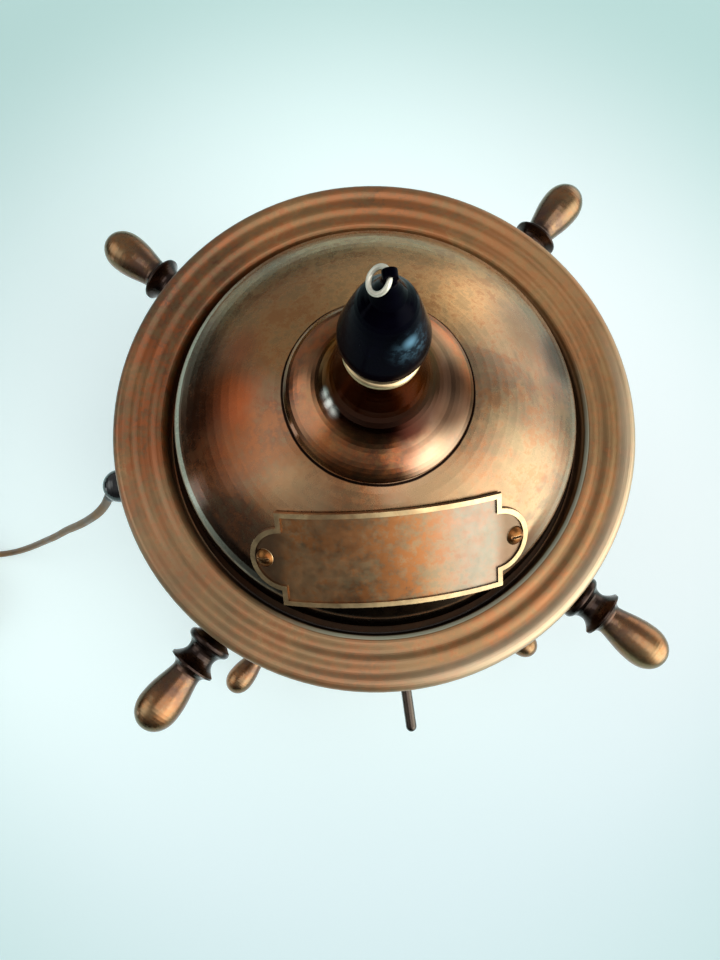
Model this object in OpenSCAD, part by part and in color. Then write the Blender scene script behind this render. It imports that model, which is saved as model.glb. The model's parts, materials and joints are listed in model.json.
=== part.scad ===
// A ship's lantern lamp: two ring mouldings with wheel handles, a glass cylinder in a guard
// between them, and a lift-off domed cover. All sizes are in millimetres.
// The origin is on the lamp's axis at the table, +Z is up and the front faces -Y.

/* [Stance] */
// Height of the lower handles' plane above the table
low_wheel_z = 40; // [38:0.5:48]
// Distance between the planes of the lower and the upper handles
wheel_gap = 263; // [245:1:285]
// From a handle plane to the widest edge of the ring moulding beyond it
ring_rise = 29.5; // [28:0.5:36]
// Thickness of the felt ring under the base
felt_t = 2; // [1.5:0.1:3]

/* [Ring mouldings] */
// Outer diameter of both ring mouldings
ring_d = 230; // [226:1:240]
// Bore of the upper ring moulding, which the cover drops into
ring_bore_d = 182; // [180:0.5:184]
// Sheet thickness of the ring mouldings
ring_wall = 1.8; // [1.4:0.1:2.4]

/* [Wheel bands] */
// Outer diameter of the band that carries the handles
band_d = 212; // [208:1:214]
// Height of the band
band_h = 35; // [32:1:40]
// Wall of the band
band_wall = 2; // [1.6:0.1:2.6]
// Thickness of the band's two flanges
flange_t = 3; // [2.4:0.1:4]
// Inner diameter of the flange next to the ring moulding
ledge_d = 160; // [156:1:166]
// Inner diameter of the flange next to the housing
inner_flange_d = 140; // [136:1:146]

/* [Handles] */
// Radius from the lamp's axis to the tip of a handle
handle_reach = 167.2; // [162:0.2:176]
// Greatest diameter of the grip
grip_d = 19.8; // [17:0.2:22]
// Length of the egg-shaped grip
grip_l = 30; // [26:0.5:33]
// Diameter of the sharp outer flange
collar_d = 21.8; // [20:0.2:24]
// Diameter of the sharp inner flange
rim_d = 21.2; // [19:0.2:23]
// Diameter of the handle's foot on the band
root_d = 16; // [14:0.5:18]
// Diameter of the stalk between the foot and the inner flange
stalk_d = 12.4; // [11:0.2:14]
// Diameter of the waists on both sides of the outer flange
waist_d = 14; // [12:0.2:15]
// Diameter of the handle's threaded shank
shank_d = 8; // [6:0.5:8]
// Angle of the first handle round from the right
handle_a = 45; // [40:1:50]

/* [Cover] */
// Radius of the domed cover's outer face
dome_r = 112; // [108:1:118]
// Radius of the dome's shoulder, where its side turns down
shoulder_r = 84.4; // [82:0.2:86]
// Height of the shoulder over the ring moulding's widest edge
shoulder_rise = 14.9; // [12:0.1:18]
// Radius of the turn from the dome into its side
shoulder_turn = 4; // [3:0.1:5]
// Sheet thickness of the dome and the boss
cover_wall = 1.2; // [1:0.1:1.6]
// Radius of the boss's foot
boss_r = 36.5; // [33:0.5:40]
// Height of the boss from its foot to its top
boss_h = 41.6; // [36:0.2:48]
// Radius of the boss's top
boss_top_r = 12.4; // [12:0.2:13]
// Outer radius of the neck ring on the boss
neck_r = 13.6; // [12.5:0.1:15]
// Thickness of the neck ring
neck_t = 3.4; // [2.6:0.2:4.4]

/* [Top knob] */
// Greatest radius of the black knob
knob_r = 15; // [13:0.2:17]
// Height of the black knob from the neck ring to the hole in its tip
knob_h = 54; // [50:0.5:60]
// Radius of the flat lug at the knob's tip
lug_r = 2.2; // [2:0.1:2.6]
// Thickness of the lug
lug_t = 2.6; // [2:0.1:2.8]
// Radius of the hole through the lug
lug_hole_r = 1.2; // [1.1:0.05:1.3]
// Wire diameter of the small hanging ring
wire_d = 1.6; // [1.3:0.1:1.8]
// Radius of the hanging ring at the middle of its wire
wire_ring_r = 3.7; // [3.6:0.1:4.6]
// How far the hanging ring droops below level at rest
ring_droop = 42; // [30:1:45]
// Diameter of the stud that clamps the knob, the boss and the dome together
stud_d = 6; // [5:0.5:8]

/* [Nameplate] */
// Length of the plate between its square shoulders
plate_l = 88; // [80:1:92]
// Height of the plate along the slope of the dome
plate_h = 39.6; // [34:0.2:44]
// Thickness of the plate
plate_t = 1.2; // [1:0.1:2]
// Radius of the round ears
ear_r = 13.5; // [11:0.5:15]
// Distance between the two screws
plate_screw_gap = 98.6; // [92:0.2:102]
// Width of the raised border
border_w = 2; // [1.4:0.1:3]
// Height of the raised border
border_t = 0.8; // [0.5:0.1:1.2]
// Slope of the plate, the same as the dome's where they touch
plate_tilt = 31; // [26:0.5:36]
// How far the middle of the plate lies down the slope from where it touches
plate_drop = 6; // [2:0.5:8]
// How far round from the front the plate sits
plate_turn = -1.8; // [-4:0.2:4]
// Diameter of the plate screws' heads
plate_screw_d = 8; // [6:0.5:9]

/* [Housings and glass] */
// Outer diameter of the two housings
housing_d = 196; // [192:1:200]
// Height of a housing
housing_h = 42.5; // [38:0.5:48]
// Sheet thickness of a housing
housing_wall = 1.5; // [1.2:0.1:2]
// Gap between the guard rods and the glass cylinder
glass_gap = 5; // [4:0.1:8]
// Wall of the glass cylinder
glass_wall = 3; // [2.5:0.1:4]
// How far the housing's mouth reaches in past the glass
mouth_lap = 3; // [2:0.1:5]
// Thickness of a glass gasket
gasket_t = 2.5; // [1.5:0.1:3.5]
// Height of the lip round each end of the glass
lip_h = 8; // [6:0.5:12]

/* [Guard] */
// Number of guard rods
rod_n = 8; // [6:1:10]
// Diameter of a guard rod
rod_d = 6; // [5:0.5:6.5]
// From the housing's outside in to the middle of a rod
rod_inset = 6; // [5.8:0.1:6.4]
// Diameter of the rods' threaded ends
rod_end_d = 4; // [3:0.5:4]
// Distance between the two guard hoops
hoop_gap = 56; // [40:1:80]
// Height of a guard hoop
hoop_h = 6; // [4:0.5:9]
// Thickness of a guard hoop
hoop_t = 4; // [3:0.2:5]

/* [Lamp] */
// Width of the strap that carries the lampholder
strap_w = 24; // [20:1:28]
// Thickness of the strap
strap_t = 2.5; // [2:0.1:3.5]
// Diameter of the lampholder's threaded tube
nipple_d = 10; // [8:0.5:10]
// Outer diameter of the lampholder
holder_d = 40; // [36:1:46]
// Height of the lampholder
holder_h = 55; // [50:1:60]
// Diameter of the bulb's screw cap
cap_d = 26.4; // [25.6:0.1:27]
// Diameter of the bulb
bulb_d = 60; // [50:1:70]
// Length of the bulb's glass below the lampholder
bulb_l = 78; // [70:1:86]
// Wall of the bulb's glass
bulb_wall = 0.8; // [0.6:0.1:1.2]

/* [Cord entry and switch] */
// How far the gland's and the lever's axes lie below the upper handles' plane
entry_drop = 35; // [32:0.5:37]
// Radius from the lamp's axis to the end of the gland
gland_reach = 139; // [134:0.5:146]
// Diameter of the gland's barrel
gland_d = 17; // [15:0.5:19]
// Diameter of the strain relief where it leaves the gland
relief_d = 10.4; // [9:0.2:12]
// Length of the strain relief
relief_l = 20; // [20:0.5:26]
// Radius from the lamp's axis to the tip of the switch lever
lever_reach = 139.5; // [130:0.5:146]
// Diameter of the switch lever
lever_d = 5.2; // [4:0.1:6]
// How far the lever hangs below level at rest
lever_droop = 8; // [4:1:12]
// Diameter of the switch bush
bush_d = 14; // [13:0.5:16]
// Angle of the lever round from the right
lever_a = 271.2; // [268:0.2:274]

/* [Base] */
// Thickness of the base weight's floor
weight_t = 6; // [4:0.5:10]
// Width of the base weight's raised rim
weight_rim = 14; // [12:1:20]
// Diameter of the base screws
base_screw_d = 5; // [4:0.5:6]

/* [Cord] */
// Diameter of the mains cord
cord_d = 5; // [4.5:0.1:5.4]
// Width of the plug
plug_w = 35; // [33:0.5:36]
// Thickness of the plug
plug_h = 13.6; // [12:0.2:15]
// Length of the plug's body
plug_l = 36; // [32:0.5:40]
// Distance between the plug's pins
pin_gap = 18.6; // [18:0.1:19]
// Diameter of the plug's pins
pin_d = 4; // [3.8:0.1:4.2]
// Length of the plug's pins
pin_l = 19; // [18:0.5:20]

/* [Hidden] */
$fn = 96;

// Clearances: a close seat, a running fit round a screw, a thread and the lift-off cover.
seat_gap = 0.05;
slip = 0.15;
thread_slip = 0.05;
cover_slip = 0.6;

// Fasteners and other sizes that several pieces share.
screw_d = 4;
screw_head_d = 8;
screw_head_t = 2;
ring_flange_t = 3;
flange_in = 1;
handle_nut_t = 5;
handle_nut_af = 13;
pad_d = 20;
pad_out = 2;
entry_pad_d = 26;
entry_pad_t = 1.5;
entry_wall = 5;
stem_d = 12;
stem_nut_af = 16;
stem_nut_t = 3;
stem_flange_t = 3;

// Heights of the two wheels and of the parts between them.
up_z = low_wheel_z + wheel_gap;
ring_z = up_z + ring_rise;
foot_z = low_wheel_z - ring_rise;
mid_z = (low_wheel_z + up_z) / 2;
half_span = wheel_gap / 2;
ring_h = ring_rise - band_h / 2;
wheel_face = half_span - band_h / 2;
mouth = wheel_face - housing_h;
glass_half = mouth - gasket_t;
base_top = low_wheel_z - band_h / 2;
flange_under = up_z + band_h / 2 - flange_t;

// Radii that follow from the diameters.
ring_r = ring_d / 2;
bore_r = ring_bore_d / 2;
band_r = band_d / 2;
band_in_r = band_r - band_wall;
pad_r = band_r + pad_out;
ledge_r = ledge_d / 2;
housing_r = housing_d / 2;
rod_circle_r = housing_r - rod_inset;
glass_r = rod_circle_r - rod_d / 2 - glass_gap;
mouth_r = glass_r - glass_wall - mouth_lap;
housing_screw_r = inner_flange_d / 2 + 5;
ring_ledge_r = ledge_r + flange_in;
screw_circle_r = (ring_ledge_r + bore_r) / 2;
weight_r = bore_r - cover_slip;
dome_z = ring_z + shoulder_rise - sqrt(dome_r ^ 2 - shoulder_r ^ 2);
entry_z = up_z - entry_drop;

// Points along an arc from one angle to another.
function arc_pts(x, y, r, a, b, n) =
    [for (i = [0:n]) let (c = a + (b - a) * i / n) [x + r * cos(c), y + r * sin(c)]];
// Points along a curve with two guide points.
function bez(a, b, c, d, n) =
    [for (i = [1:n]) let (t = i / n, u = 1 - t)
        a * u ^ 3 + b * 3 * t * u ^ 2 + c * 3 * t ^ 2 * u + d * t ^ 3];
function unit(v) = v / norm(v);
function right_of(v) = [v[1], -v[0]];
function back(p) = [for (i = [len(p) - 1:-1:0]) p[i]];
// The same line moved sideways by t, with its corners kept square.
function aside(p, t) = [for (i = [0:len(p) - 1])
    let (a = unit(p[max(i, 1)] - p[max(i, 1) - 1]),
         b = unit(p[min(i + 1, len(p) - 1)] - p[min(i + 1, len(p) - 1) - 1]),
         m = unit(right_of(a) + right_of(b)))
    p[i] + m * t / (m * right_of(a))];
function flip(p, s) = [for (q = p) [q[0], q[1] * s]];

// A screw with a flat countersunk head, its top at the origin, pointing down.
module flat_screw(l, grow = 0) {
    translate([0, 0, -screw_head_t])
        cylinder(h = screw_head_t, r1 = screw_d / 2 + grow, r2 = screw_head_d / 2 + grow);
    translate([0, 0, -l])
        cylinder(h = l, d = screw_d + 2 * grow);
}

// A hexagonal prism, measured across its flats.
module hex(af, h) {
    cylinder(h = h, d = af / cos(30), $fn = 6);
}

// A hexagonal nut with a plain bore.
module nut(af, h, bore) {
    difference() {
        hex(af, h);
        translate([0, 0, -1])
            cylinder(h = h + 2, d = bore);
    }
}

// Turns a piece that points up so that it points outward, at an angle round the axis.
module outward(a) {
    rotate([0, 0, a])
        rotate([0, 90, 0])
            children();
}

// Points along a smooth line through the given places.
function curve_at(p, i, t) =
    let (a = p[max(i - 1, 0)], b = p[i], c = p[i + 1], d = p[min(i + 2, len(p) - 1)])
    (b * 2 + (c - a) * t + (a * 2 - b * 5 + c * 4 - d) * t ^ 2
        + (b * 3 - a - c * 3 + d) * t ^ 3) / 2;
function through(p, n) = concat(
    [for (i = [0:len(p) - 2]) for (j = [0:n - 1]) curve_at(p, i, j / n)],
    [p[len(p) - 1]]);
function heading(p) = [for (i = [0:len(p) - 1])
    unit(p[min(i + 1, len(p) - 1)] - p[max(i - 1, 0)])];
function square_to(n, t) = unit(n - t * (n * t));
function carried(t, n) = [for (i = 0, s = square_to(n, t[0]); i < len(t);
    i = i + 1, s = i < len(t) ? square_to(s, t[i]) : s) s];

// A round tube with k sides that follows a line of points.
module tube(p, r, k) {
    t = heading(p);
    s = carried(t, abs(t[0][2]) > 0.8 ? [1, 0, 0] : [0, 0, 1]);
    last = len(p) - 1;
    polyhedron(
        points = [for (i = [0:last]) for (j = [0:k - 1])
            p[i] + s[i] * r * cos(360 * j / k) + cross(t[i], s[i]) * r * sin(360 * j / k)],
        faces = concat(
            [[for (j = [0:k - 1]) j]],
            [for (i = [0:last - 1]) for (j = [0:k - 1])
                [i * k + j, (i + 1) * k + j, (i + 1) * k + (j + 1) % k]],
            [for (i = [0:last - 1]) for (j = [0:k - 1])
                [i * k + j, (i + 1) * k + (j + 1) % k, i * k + (j + 1) % k]],
            [[for (j = [k - 1:-1:0]) last * k + j]]),
        convexity = 8);
}

// Cover: heights are measured from the widest edge of the ring moulding.
dome_c = dome_z - ring_z;
cover_r = bore_r - 3;
foot_r = bore_r - cover_slip;
foot_low = ring_flange_t - ring_h + seat_gap;
foot_t = 1.4;
foot_bead = 1.2;
hole_r = stud_d / 2 + slip;
boss_low = dome_c + sqrt(dome_r ^ 2 - boss_r ^ 2);
boss_top = boss_low + boss_h;
neck_top = boss_top + neck_t;
hole_z = neck_top + knob_h;

shoulder_a = asin(shoulder_r / dome_r);
turn_x = (dome_r - shoulder_turn) * sin(shoulder_a);
turn_z = dome_c + (dome_r - shoulder_turn) * cos(shoulder_a);

function dome_arc(r, a) = arc_pts(0, dome_c, r, 90 - asin(a / r), 90 - shoulder_a, 22);
function shoulder_arc(r) = arc_pts(turn_x, turn_z, r, 90 - shoulder_a, 10, 7);

module cover_dome() {
    color([0.5, 0.36, 0.24])
        translate([0, 0, ring_z])
            difference() {
                rotate_extrude()
                    polygon(concat(
                        dome_arc(dome_r, hole_r),
                        shoulder_arc(shoulder_turn),
                        [[cover_r, -2], [cover_r, foot_low + foot_t]],
                        [[foot_r, foot_low + foot_t], [foot_r, foot_low]],
                        [[cover_r - cover_wall, foot_low], [cover_r - cover_wall, -2]],
                        back(shoulder_arc(shoulder_turn - cover_wall)),
                        back(dome_arc(dome_r - cover_wall, hole_r))));
                plate_screw_places()
                    translate([0, 0, -20])
                        cylinder(h = 40, d = plate_screw_bore);
            }
}

module cover_boss() {
    foot = arc_pts(boss_r - foot_bead, boss_low + foot_bead, foot_bead, -50, 40, 8);
    line = concat(
        bez(foot[8], [boss_r - 2, boss_low + 4.6],
            [boss_r - 6, boss_low + 7.2], [boss_r - 9.5, boss_low + 8.8], 6),
        bez([boss_r - 9.5, boss_low + 8.8], [boss_r - 13.5, boss_low + 11],
            [boss_r - 18, boss_low + 16.4], [boss_top_r + 3.6, boss_low + 24.5], 8),
        bez([boss_top_r + 3.6, boss_low + 24.5], [boss_top_r + 1.6, boss_low + 31.5],
            [boss_top_r + 0.2, boss_low + 36.5], [boss_top_r, boss_top], 6));
    inner = aside(line, -cover_wall);
    color([0.6, 0.45, 0.3])
        translate([0, 0, ring_z])
            difference() {
                rotate_extrude()
                    polygon(concat(
                        foot, line, [[hole_r, boss_top], [hole_r, boss_top - cover_wall]],
                        [[boss_top_r - cover_wall, boss_top - cover_wall]],
                        [for (i = [len(inner) - 2:-1:0]) inner[i]],
                        [[boss_r - 2 * foot_bead, boss_low]]));
                translate([0, 0, dome_c])
                    sphere(r = dome_r + seat_gap);
            }
}

module neck_ring() {
    color([0.85, 0.65, 0.3])
        translate([0, 0, ring_z + boss_top + neck_t / 2])
            rotate_extrude()
                polygon(concat(
                    [[shank_r + slip, seat_gap - neck_t / 2]],
                    arc_pts(neck_r - neck_t / 2, 0, neck_t / 2 - seat_gap, -90, 90, 12),
                    [[shank_r + slip, neck_t / 2 - seat_gap]]));
}

shank_r = 9.9;
ball_z = neck_top + knob_r - 2.4;
ball_a = asin((shank_r + 0.1) / knob_r);

module top_knob() {
    color([0.06, 0.06, 0.09])
        translate([0, 0, ring_z])
            difference() {
                union() {
                    rotate_extrude()
                        polygon(concat(
                            [[0, boss_top + seat_gap], [shank_r, boss_top + seat_gap]],
                            arc_pts(0, ball_z, knob_r, ball_a - 90, 15, 14),
                            bez([knob_r * cos(15), ball_z + knob_r * sin(15)],
                                [knob_r - 1.8, ball_z + 9], [knob_r - 3.8, ball_z + 18],
                                [knob_r - 5.6, ball_z + 23], 6),
                            bez([knob_r - 5.6, ball_z + 23], [knob_r - 6.8, ball_z + 26.5],
                                [knob_r - 9, ball_z + 28], [4.6, ball_z + 32], 5),
                            bez([4.6, ball_z + 32], [3.7, hole_z - 7],
                                [2.9, hole_z - 5.6], [lug_r + 0.2, hole_z - 3.6], 4),
                            [[lug_r, hole_z - 2.4], [lug_t / 2, hole_z - 1.4]],
                            [[0, hole_z - 1.4]]));
                    translate([0, lug_t / 2, hole_z])
                        rotate([90, 0, 0])
                            cylinder(h = lug_t, r = lug_r);
                }
                translate([0, lug_t, hole_z])
                    rotate([90, 0, 0])
                        cylinder(h = 2 * lug_t, r = lug_hole_r);
                for (s = [-1, 1])
                    translate([-5, s * (lug_t / 2 + 2.5) - 2.5, hole_z - 2.6])
                        cube([10, 5, 2.5]);
                translate([0, 0, boss_top - 1])
                    cylinder(h = 24, d = stud_d + 2 * thread_slip);
            }
}

module hanging_ring() {
    bend = wire_ring_r - sqrt(wire_ring_r ^ 2 - (lug_t / 2) ^ 2);
    hang = lug_hole_r - wire_d / 2 - bend - seat_gap;
    color([0.8, 0.8, 0.78])
        translate([-hang * cos(ring_droop), 0, ring_z + hole_z - hang * sin(ring_droop)])
            rotate([0, -ring_droop, 0])
                translate([-wire_ring_r, 0, 0])
                    rotate_extrude()
                        translate([wire_ring_r, 0, 0])
                            circle(d = wire_d, $fn = 24);
}

stud_low = dome_c + dome_r - 10.5;
washer_top = dome_c + sqrt((dome_r - cover_wall) ^ 2 - 81) - seat_gap;

module knob_stud() {
    color([0.7, 0.55, 0.3])
        translate([0, 0, ring_z + stud_low])
            cylinder(h = boss_top + 22 - stud_low, d = stud_d);
}

module knob_nut() {
    color([0.75, 0.6, 0.35])
        translate([0, 0, ring_z + washer_top])
            difference() {
                union() {
                    translate([0, 0, -1.6])
                        cylinder(h = 1.6, r = 9);
                    translate([0, 0, -6.6])
                        hex(10, 5.2);
                }
                translate([0, 0, -8])
                    cylinder(h = 9, d = stud_d + 2 * thread_slip);
            }
}

// Nameplate: it touches the dome along one line across its middle.
plate_in_r = dome_r + 2 * seat_gap;
plate_screw_bore = 4.2;
screw_a = asin(plate_screw_gap / 2 / plate_in_r);

module plate_frame() {
    translate([0, 0, dome_c])
        rotate([0, 0, plate_turn])
            rotate([plate_tilt, 0, 0])
                children();
}

module plate_screw_places() {
    plate_frame()
        for (s = [-1, 1])
            rotate([0, s * screw_a, 0])
                translate([0, -plate_drop, plate_in_r])
                    children();
}

// The plate's outline: a rectangle with a half-round ear on each end.
module plate_form(less, low, tall) {
    translate([0, -plate_drop, low]) {
        translate([-plate_l / 2 + less, -plate_h / 2 + less, 0])
            cube([plate_l - 2 * less, plate_h - 2 * less, tall]);
        for (s = [-1, 1])
            translate([s * (plate_l / 2 - 2), 0, 0])
                cylinder(h = tall, r = ear_r - less);
    }
}

module bent(r, t) {
    rotate([90, 0, 0])
        translate([0, 0, -60])
            difference() {
                cylinder(h = 120, r = r + t, $fn = 180);
                translate([0, 0, -1])
                    cylinder(h = 122, r = r, $fn = 180);
            }
}

module nameplate() {
    color([0.42, 0.28, 0.19])
        translate([0, 0, ring_z])
            difference() {
                union() {
                    plate_frame()
                        intersection() {
                            bent(plate_in_r, plate_t);
                            plate_form(0, 60, 80);
                        }
                    plate_frame()
                        intersection() {
                            bent(plate_in_r + plate_t - 0.4, border_t + 0.4);
                            difference() {
                                plate_form(0, 60, 80);
                                plate_form(border_w, 59, 82);
                            }
                        }
                }
                plate_screw_places()
                    translate([0, 0, -10])
                        cylinder(h = 20, d = plate_screw_bore);
            }
}

module nameplate_screws() {
    color([0.75, 0.6, 0.36])
        translate([0, 0, ring_z])
            plate_screw_places() {
                difference() {
                    union() {
                        translate([0, 0, plate_t + seat_gap])
                            rotate_extrude()
                                polygon(concat([[0, 0]],
                                    arc_pts(0, -2.5, plate_screw_d / 2 + 0.72, 32, 90, 7)));
                        translate([0, 0, -9])
                            cylinder(h = 9 + plate_t + 1, d = plate_screw_bore - 2 * slip);
                    }
                    translate([-5, -0.45, plate_t + 1.3])
                        cube([10, 0.9, 3]);
                }
                translate([0, 0, -6.2])
                    difference() {
                        hex(7, 3);
                        translate([0, 0, -1])
                            cylinder(h = 5, d = plate_screw_bore - 2 * slip - 0.4);
                    }
            }
}

// Ring mouldings: three soft ridges over a flat ledge; the lower one is the same piece upside down.
ridge_top = 3.6;
ridge_depth = 0.9;
edge_low = 0.6;
bead_in_r = 3.9;
bead_out_r = ridge_top + edge_low;
bead_in_c = bore_r + bead_in_r;
bead_out_c = ring_r - bead_out_r;
neck_in_r = band_r - 1.5;

// Height of the ridges at a radius between the inner and the outer bead: two full waves.
function ridge_z(r) = ridge_top
    - ridge_depth * (1 - cos(720 * (r - bead_in_c) / (bead_out_c - bead_in_c))) / 2;
function ridges(n) = [for (i = [1:n - 1])
    let (r = bead_in_c + (bead_out_c - bead_in_c) * i / n) [r, ridge_z(r)]];

function ring_line() = concat(
    [[ring_ledge_r, -ring_h], [ring_ledge_r, ring_flange_t - ring_h]],
    [[bore_r, ring_flange_t - ring_h]],
    arc_pts(bead_in_c, ridge_top - bead_in_r, bead_in_r, 180, 90, 7),
    ridges(22),
    arc_pts(bead_out_c, -edge_low, bead_out_r, 90, -60, 11),
    [[bead_out_c - 2.8, -7], [neck_in_r, -9.5], [neck_in_r, -ring_h]],
    [[neck_in_r - ring_wall, -ring_h], [neck_in_r - ring_wall, -8.6]],
    [[bead_out_c - 4.5, -5.6], [bead_out_c + 1.1, -3.4]],
    [[ring_r - ring_wall, -edge_low], [bead_out_c, ridge_top - ridge_depth - ring_wall]],
    [[bead_in_c, ridge_top - ridge_depth - ring_wall]],
    [[bore_r + ring_wall, -ring_wall], [bore_r + ring_wall, -ring_h]]);

module ring_body(s, through_angles) {
    difference() {
        rotate_extrude()
            polygon(flip(ring_line(), s));
        for (a = [45:90:315])
            rotate([0, 0, a])
                translate([screw_circle_r, 0, s * (ring_flange_t - ring_h)])
                    rotate([s > 0 ? 0 : 180, 0, 0])
                        flat_screw(ring_flange_t + 1, seat_gap);
        for (a = through_angles)
            rotate([0, 0, a])
                translate([screw_circle_r, 0, s * (ring_flange_t - ring_h)])
                    rotate([s > 0 ? 0 : 180, 0, 0])
                        if (s > 0)
                            flat_screw(ring_flange_t + 1, seat_gap);
                        else
                            translate([0, 0, -6])
                                cylinder(h = 12, d = base_screw_d + 2 * slip);
    }
}

module upper_ring() {
    color([0.52, 0.36, 0.24])
        translate([0, 0, ring_z])
            ring_body(1, [0, 180]);
}

module lower_ring() {
    color([0.52, 0.36, 0.24])
        translate([0, 0, foot_z])
            ring_body(-1, [0, 90, 180, 270]);
}

module ring_screws() {
    color([0.7, 0.55, 0.34])
        for (s = [-1, 1])
            for (a = [45:90:315])
                translate([0, 0, (s > 0 ? ring_z : foot_z) + s * (ring_flange_t - ring_h)])
                    rotate([0, 0, a])
                        translate([screw_circle_r, 0, 0])
                            rotate([s > 0 ? 0 : 180, 0, 0])
                                flat_screw(ring_flange_t + flange_t);
}

// Wheel bands: a channel with two inward flanges, drilled for the handles' shanks.
function band_line() = let (h = band_h / 2) concat(
    [[ledge_r, h], [band_r, h], [band_r, h - 1.5]],
    arc_pts(band_r - 0.4, h - 3.6, 1.8, 75, -75, 8),
    arc_pts(band_r - 0.4, 3.6 - h, 1.8, 75, -75, 8),
    [[band_r, 1.5 - h], [band_r, -h], [inner_flange_d / 2, -h]],
    [[inner_flange_d / 2, flange_t - h], [band_in_r, flange_t - h]],
    [[band_in_r, h - flange_t], [ledge_r, h - flange_t]]);

module wheel_band(s, angles, bore) {
    difference() {
        union() {
            rotate_extrude()
                polygon(flip(band_line(), s));
            for (a = [0:90:270])
                outward(handle_a + a)
                    translate([0, 0, band_in_r + 0.8])
                        cylinder(h = pad_r - band_in_r - 0.8, d = pad_d);
        }
        for (a = [0:90:270])
            outward(handle_a + a) {
                translate([0, 0, band_in_r - 8])
                    cylinder(h = 30, d = shank_d + 2 * slip);
                translate([0, 0, band_in_r - 8])
                    cylinder(h = 8.5, d = pad_d - 2);
            }
        for (a = [45:90:315])
            rotate([0, 0, a]) {
                translate([screw_circle_r, 0, s * (band_h / 2 - 2) - 6])
                    cylinder(h = 12, d = screw_d + 2 * thread_slip);
                translate([housing_screw_r, 0, s * (2 - band_h / 2) - 6])
                    cylinder(h = 12, d = screw_d + 2 * slip);
            }
        for (a = angles)
            rotate([0, 0, a])
                translate([screw_circle_r, 0, s * (band_h / 2 - 2) - 6])
                    cylinder(h = 12, d = bore);
    }
}

module upper_wheel_band() {
    color([0.5, 0.35, 0.22])
        translate([0, 0, up_z])
            wheel_band(1, [0, 180], screw_d + 2 * slip);
}

module lower_wheel_band() {
    color([0.5, 0.35, 0.22])
        translate([0, 0, low_wheel_z])
            wheel_band(-1, [0, 90, 180, 270], base_screw_d + 2 * thread_slip);
}

// Handles: turned in one piece with a threaded shank that passes through the band.
grip_at = handle_reach - grip_l;
grip_r = grip_d / 2;
collar_r = collar_d / 2;
rim_r = rim_d / 2;
root_r = root_d / 2;
stalk_r = stalk_d / 2;
waist_r = waist_d / 2;
nut_face = band_in_r + 0.5;
shank_in = nut_face - handle_nut_t - 1.5;

// Places along a handle: on its neck from the band's pad at 0 to the grip at 1, and on its grip.
function on_neck(f) = pad_r + (grip_at - pad_r) * f;
function on_grip(f) = grip_at + grip_l * f;

module handle(a, z) {
    color([0.62, 0.44, 0.26])
        translate([0, 0, z])
            outward(a)
                rotate_extrude()
                    polygon(concat(
                        [[0, shank_in], [shank_d / 2 - 0.6, shank_in]],
                        [[shank_d / 2, shank_in + 0.6], [shank_d / 2, pad_r]],
                        [[root_r, pad_r], [root_r, on_neck(0.05)]],
                        [[stalk_r + 0.2, on_neck(0.115)], [stalk_r, on_neck(0.205)]],
                        bez([stalk_r, on_neck(0.205)], [stalk_r + 0.4, on_neck(0.31)],
                            [root_r, on_neck(0.355)], [rim_r - 0.4, on_neck(0.39)], 5),
                        bez([rim_r - 0.4, on_neck(0.39)], [rim_r + 0.2, on_neck(0.42)],
                            [rim_r + 0.2, on_neck(0.465)], [rim_r - 1, on_neck(0.495)], 5),
                        bez([rim_r - 1, on_neck(0.495)], [waist_r + 0.6, on_neck(0.53)],
                            [waist_r, on_neck(0.58)], [waist_r, on_neck(0.65)], 5),
                        bez([waist_r, on_neck(0.65)], [waist_r, on_neck(0.705)],
                            [root_r + 0.6, on_neck(0.78)], [collar_r, on_neck(0.835)], 6),
                        [[collar_r, on_neck(0.865)], [collar_r - 1.7, on_neck(0.89)]],
                        bez([collar_r - 1.7, on_neck(0.89)], [waist_r + 0.6, on_neck(0.92)],
                            [waist_r, on_neck(0.945)], [waist_r, grip_at], 4),
                        bez([waist_r, grip_at], [waist_r + 0.6, on_grip(1 / 6)],
                            [grip_r, on_grip(1 / 3)], [grip_r, on_grip(0.6)], 8),
                        bez([grip_r, on_grip(0.6)], [grip_r, on_grip(5 / 6)],
                            [grip_r * 0.59, handle_reach], [0, handle_reach], 12)));
}

module upper_handle_rear_right() { handle(handle_a, up_z); }
module upper_handle_rear_left() { handle(handle_a + 90, up_z); }
module upper_handle_front_left() { handle(handle_a + 180, up_z); }
module upper_handle_front_right() { handle(handle_a + 270, up_z); }
module lower_handle_rear_right() { handle(handle_a, low_wheel_z); }
module lower_handle_rear_left() { handle(handle_a + 90, low_wheel_z); }
module lower_handle_front_left() { handle(handle_a + 180, low_wheel_z); }
module lower_handle_front_right() { handle(handle_a + 270, low_wheel_z); }

module handle_nuts() {
    color([0.7, 0.55, 0.34])
        for (z = [low_wheel_z, up_z])
            for (a = [0:90:270])
                translate([0, 0, z])
                    outward(handle_a + a)
                        translate([0, 0, nut_face - handle_nut_t - seat_gap])
                            nut(handle_nut_af, handle_nut_t, shank_d + 2 * thread_slip);
}

// Housings: drums with a flange for the band at one end and a mouth for the glass at the other.
in_r = housing_r - housing_wall;
lip_r = glass_r + 1;
housing_flange_t = 2.5;

function housing_line() = concat(
    [[lip_r, mouth - lip_h], [lip_r + housing_wall, mouth - lip_h]],
    [[lip_r + housing_wall, mouth]],
    arc_pts(housing_r - 0.2, mouth + 2.7, 2.7, -90, 84, 10),
    [[housing_r, mouth + 6.5], [housing_r, wheel_face]],
    [[inner_flange_d / 2, wheel_face], [inner_flange_d / 2, wheel_face - housing_flange_t]],
    [[in_r, wheel_face - housing_flange_t], [in_r, mouth + housing_wall]],
    [[mouth_r, mouth + housing_wall], [mouth_r, mouth], [lip_r, mouth]]);

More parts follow.
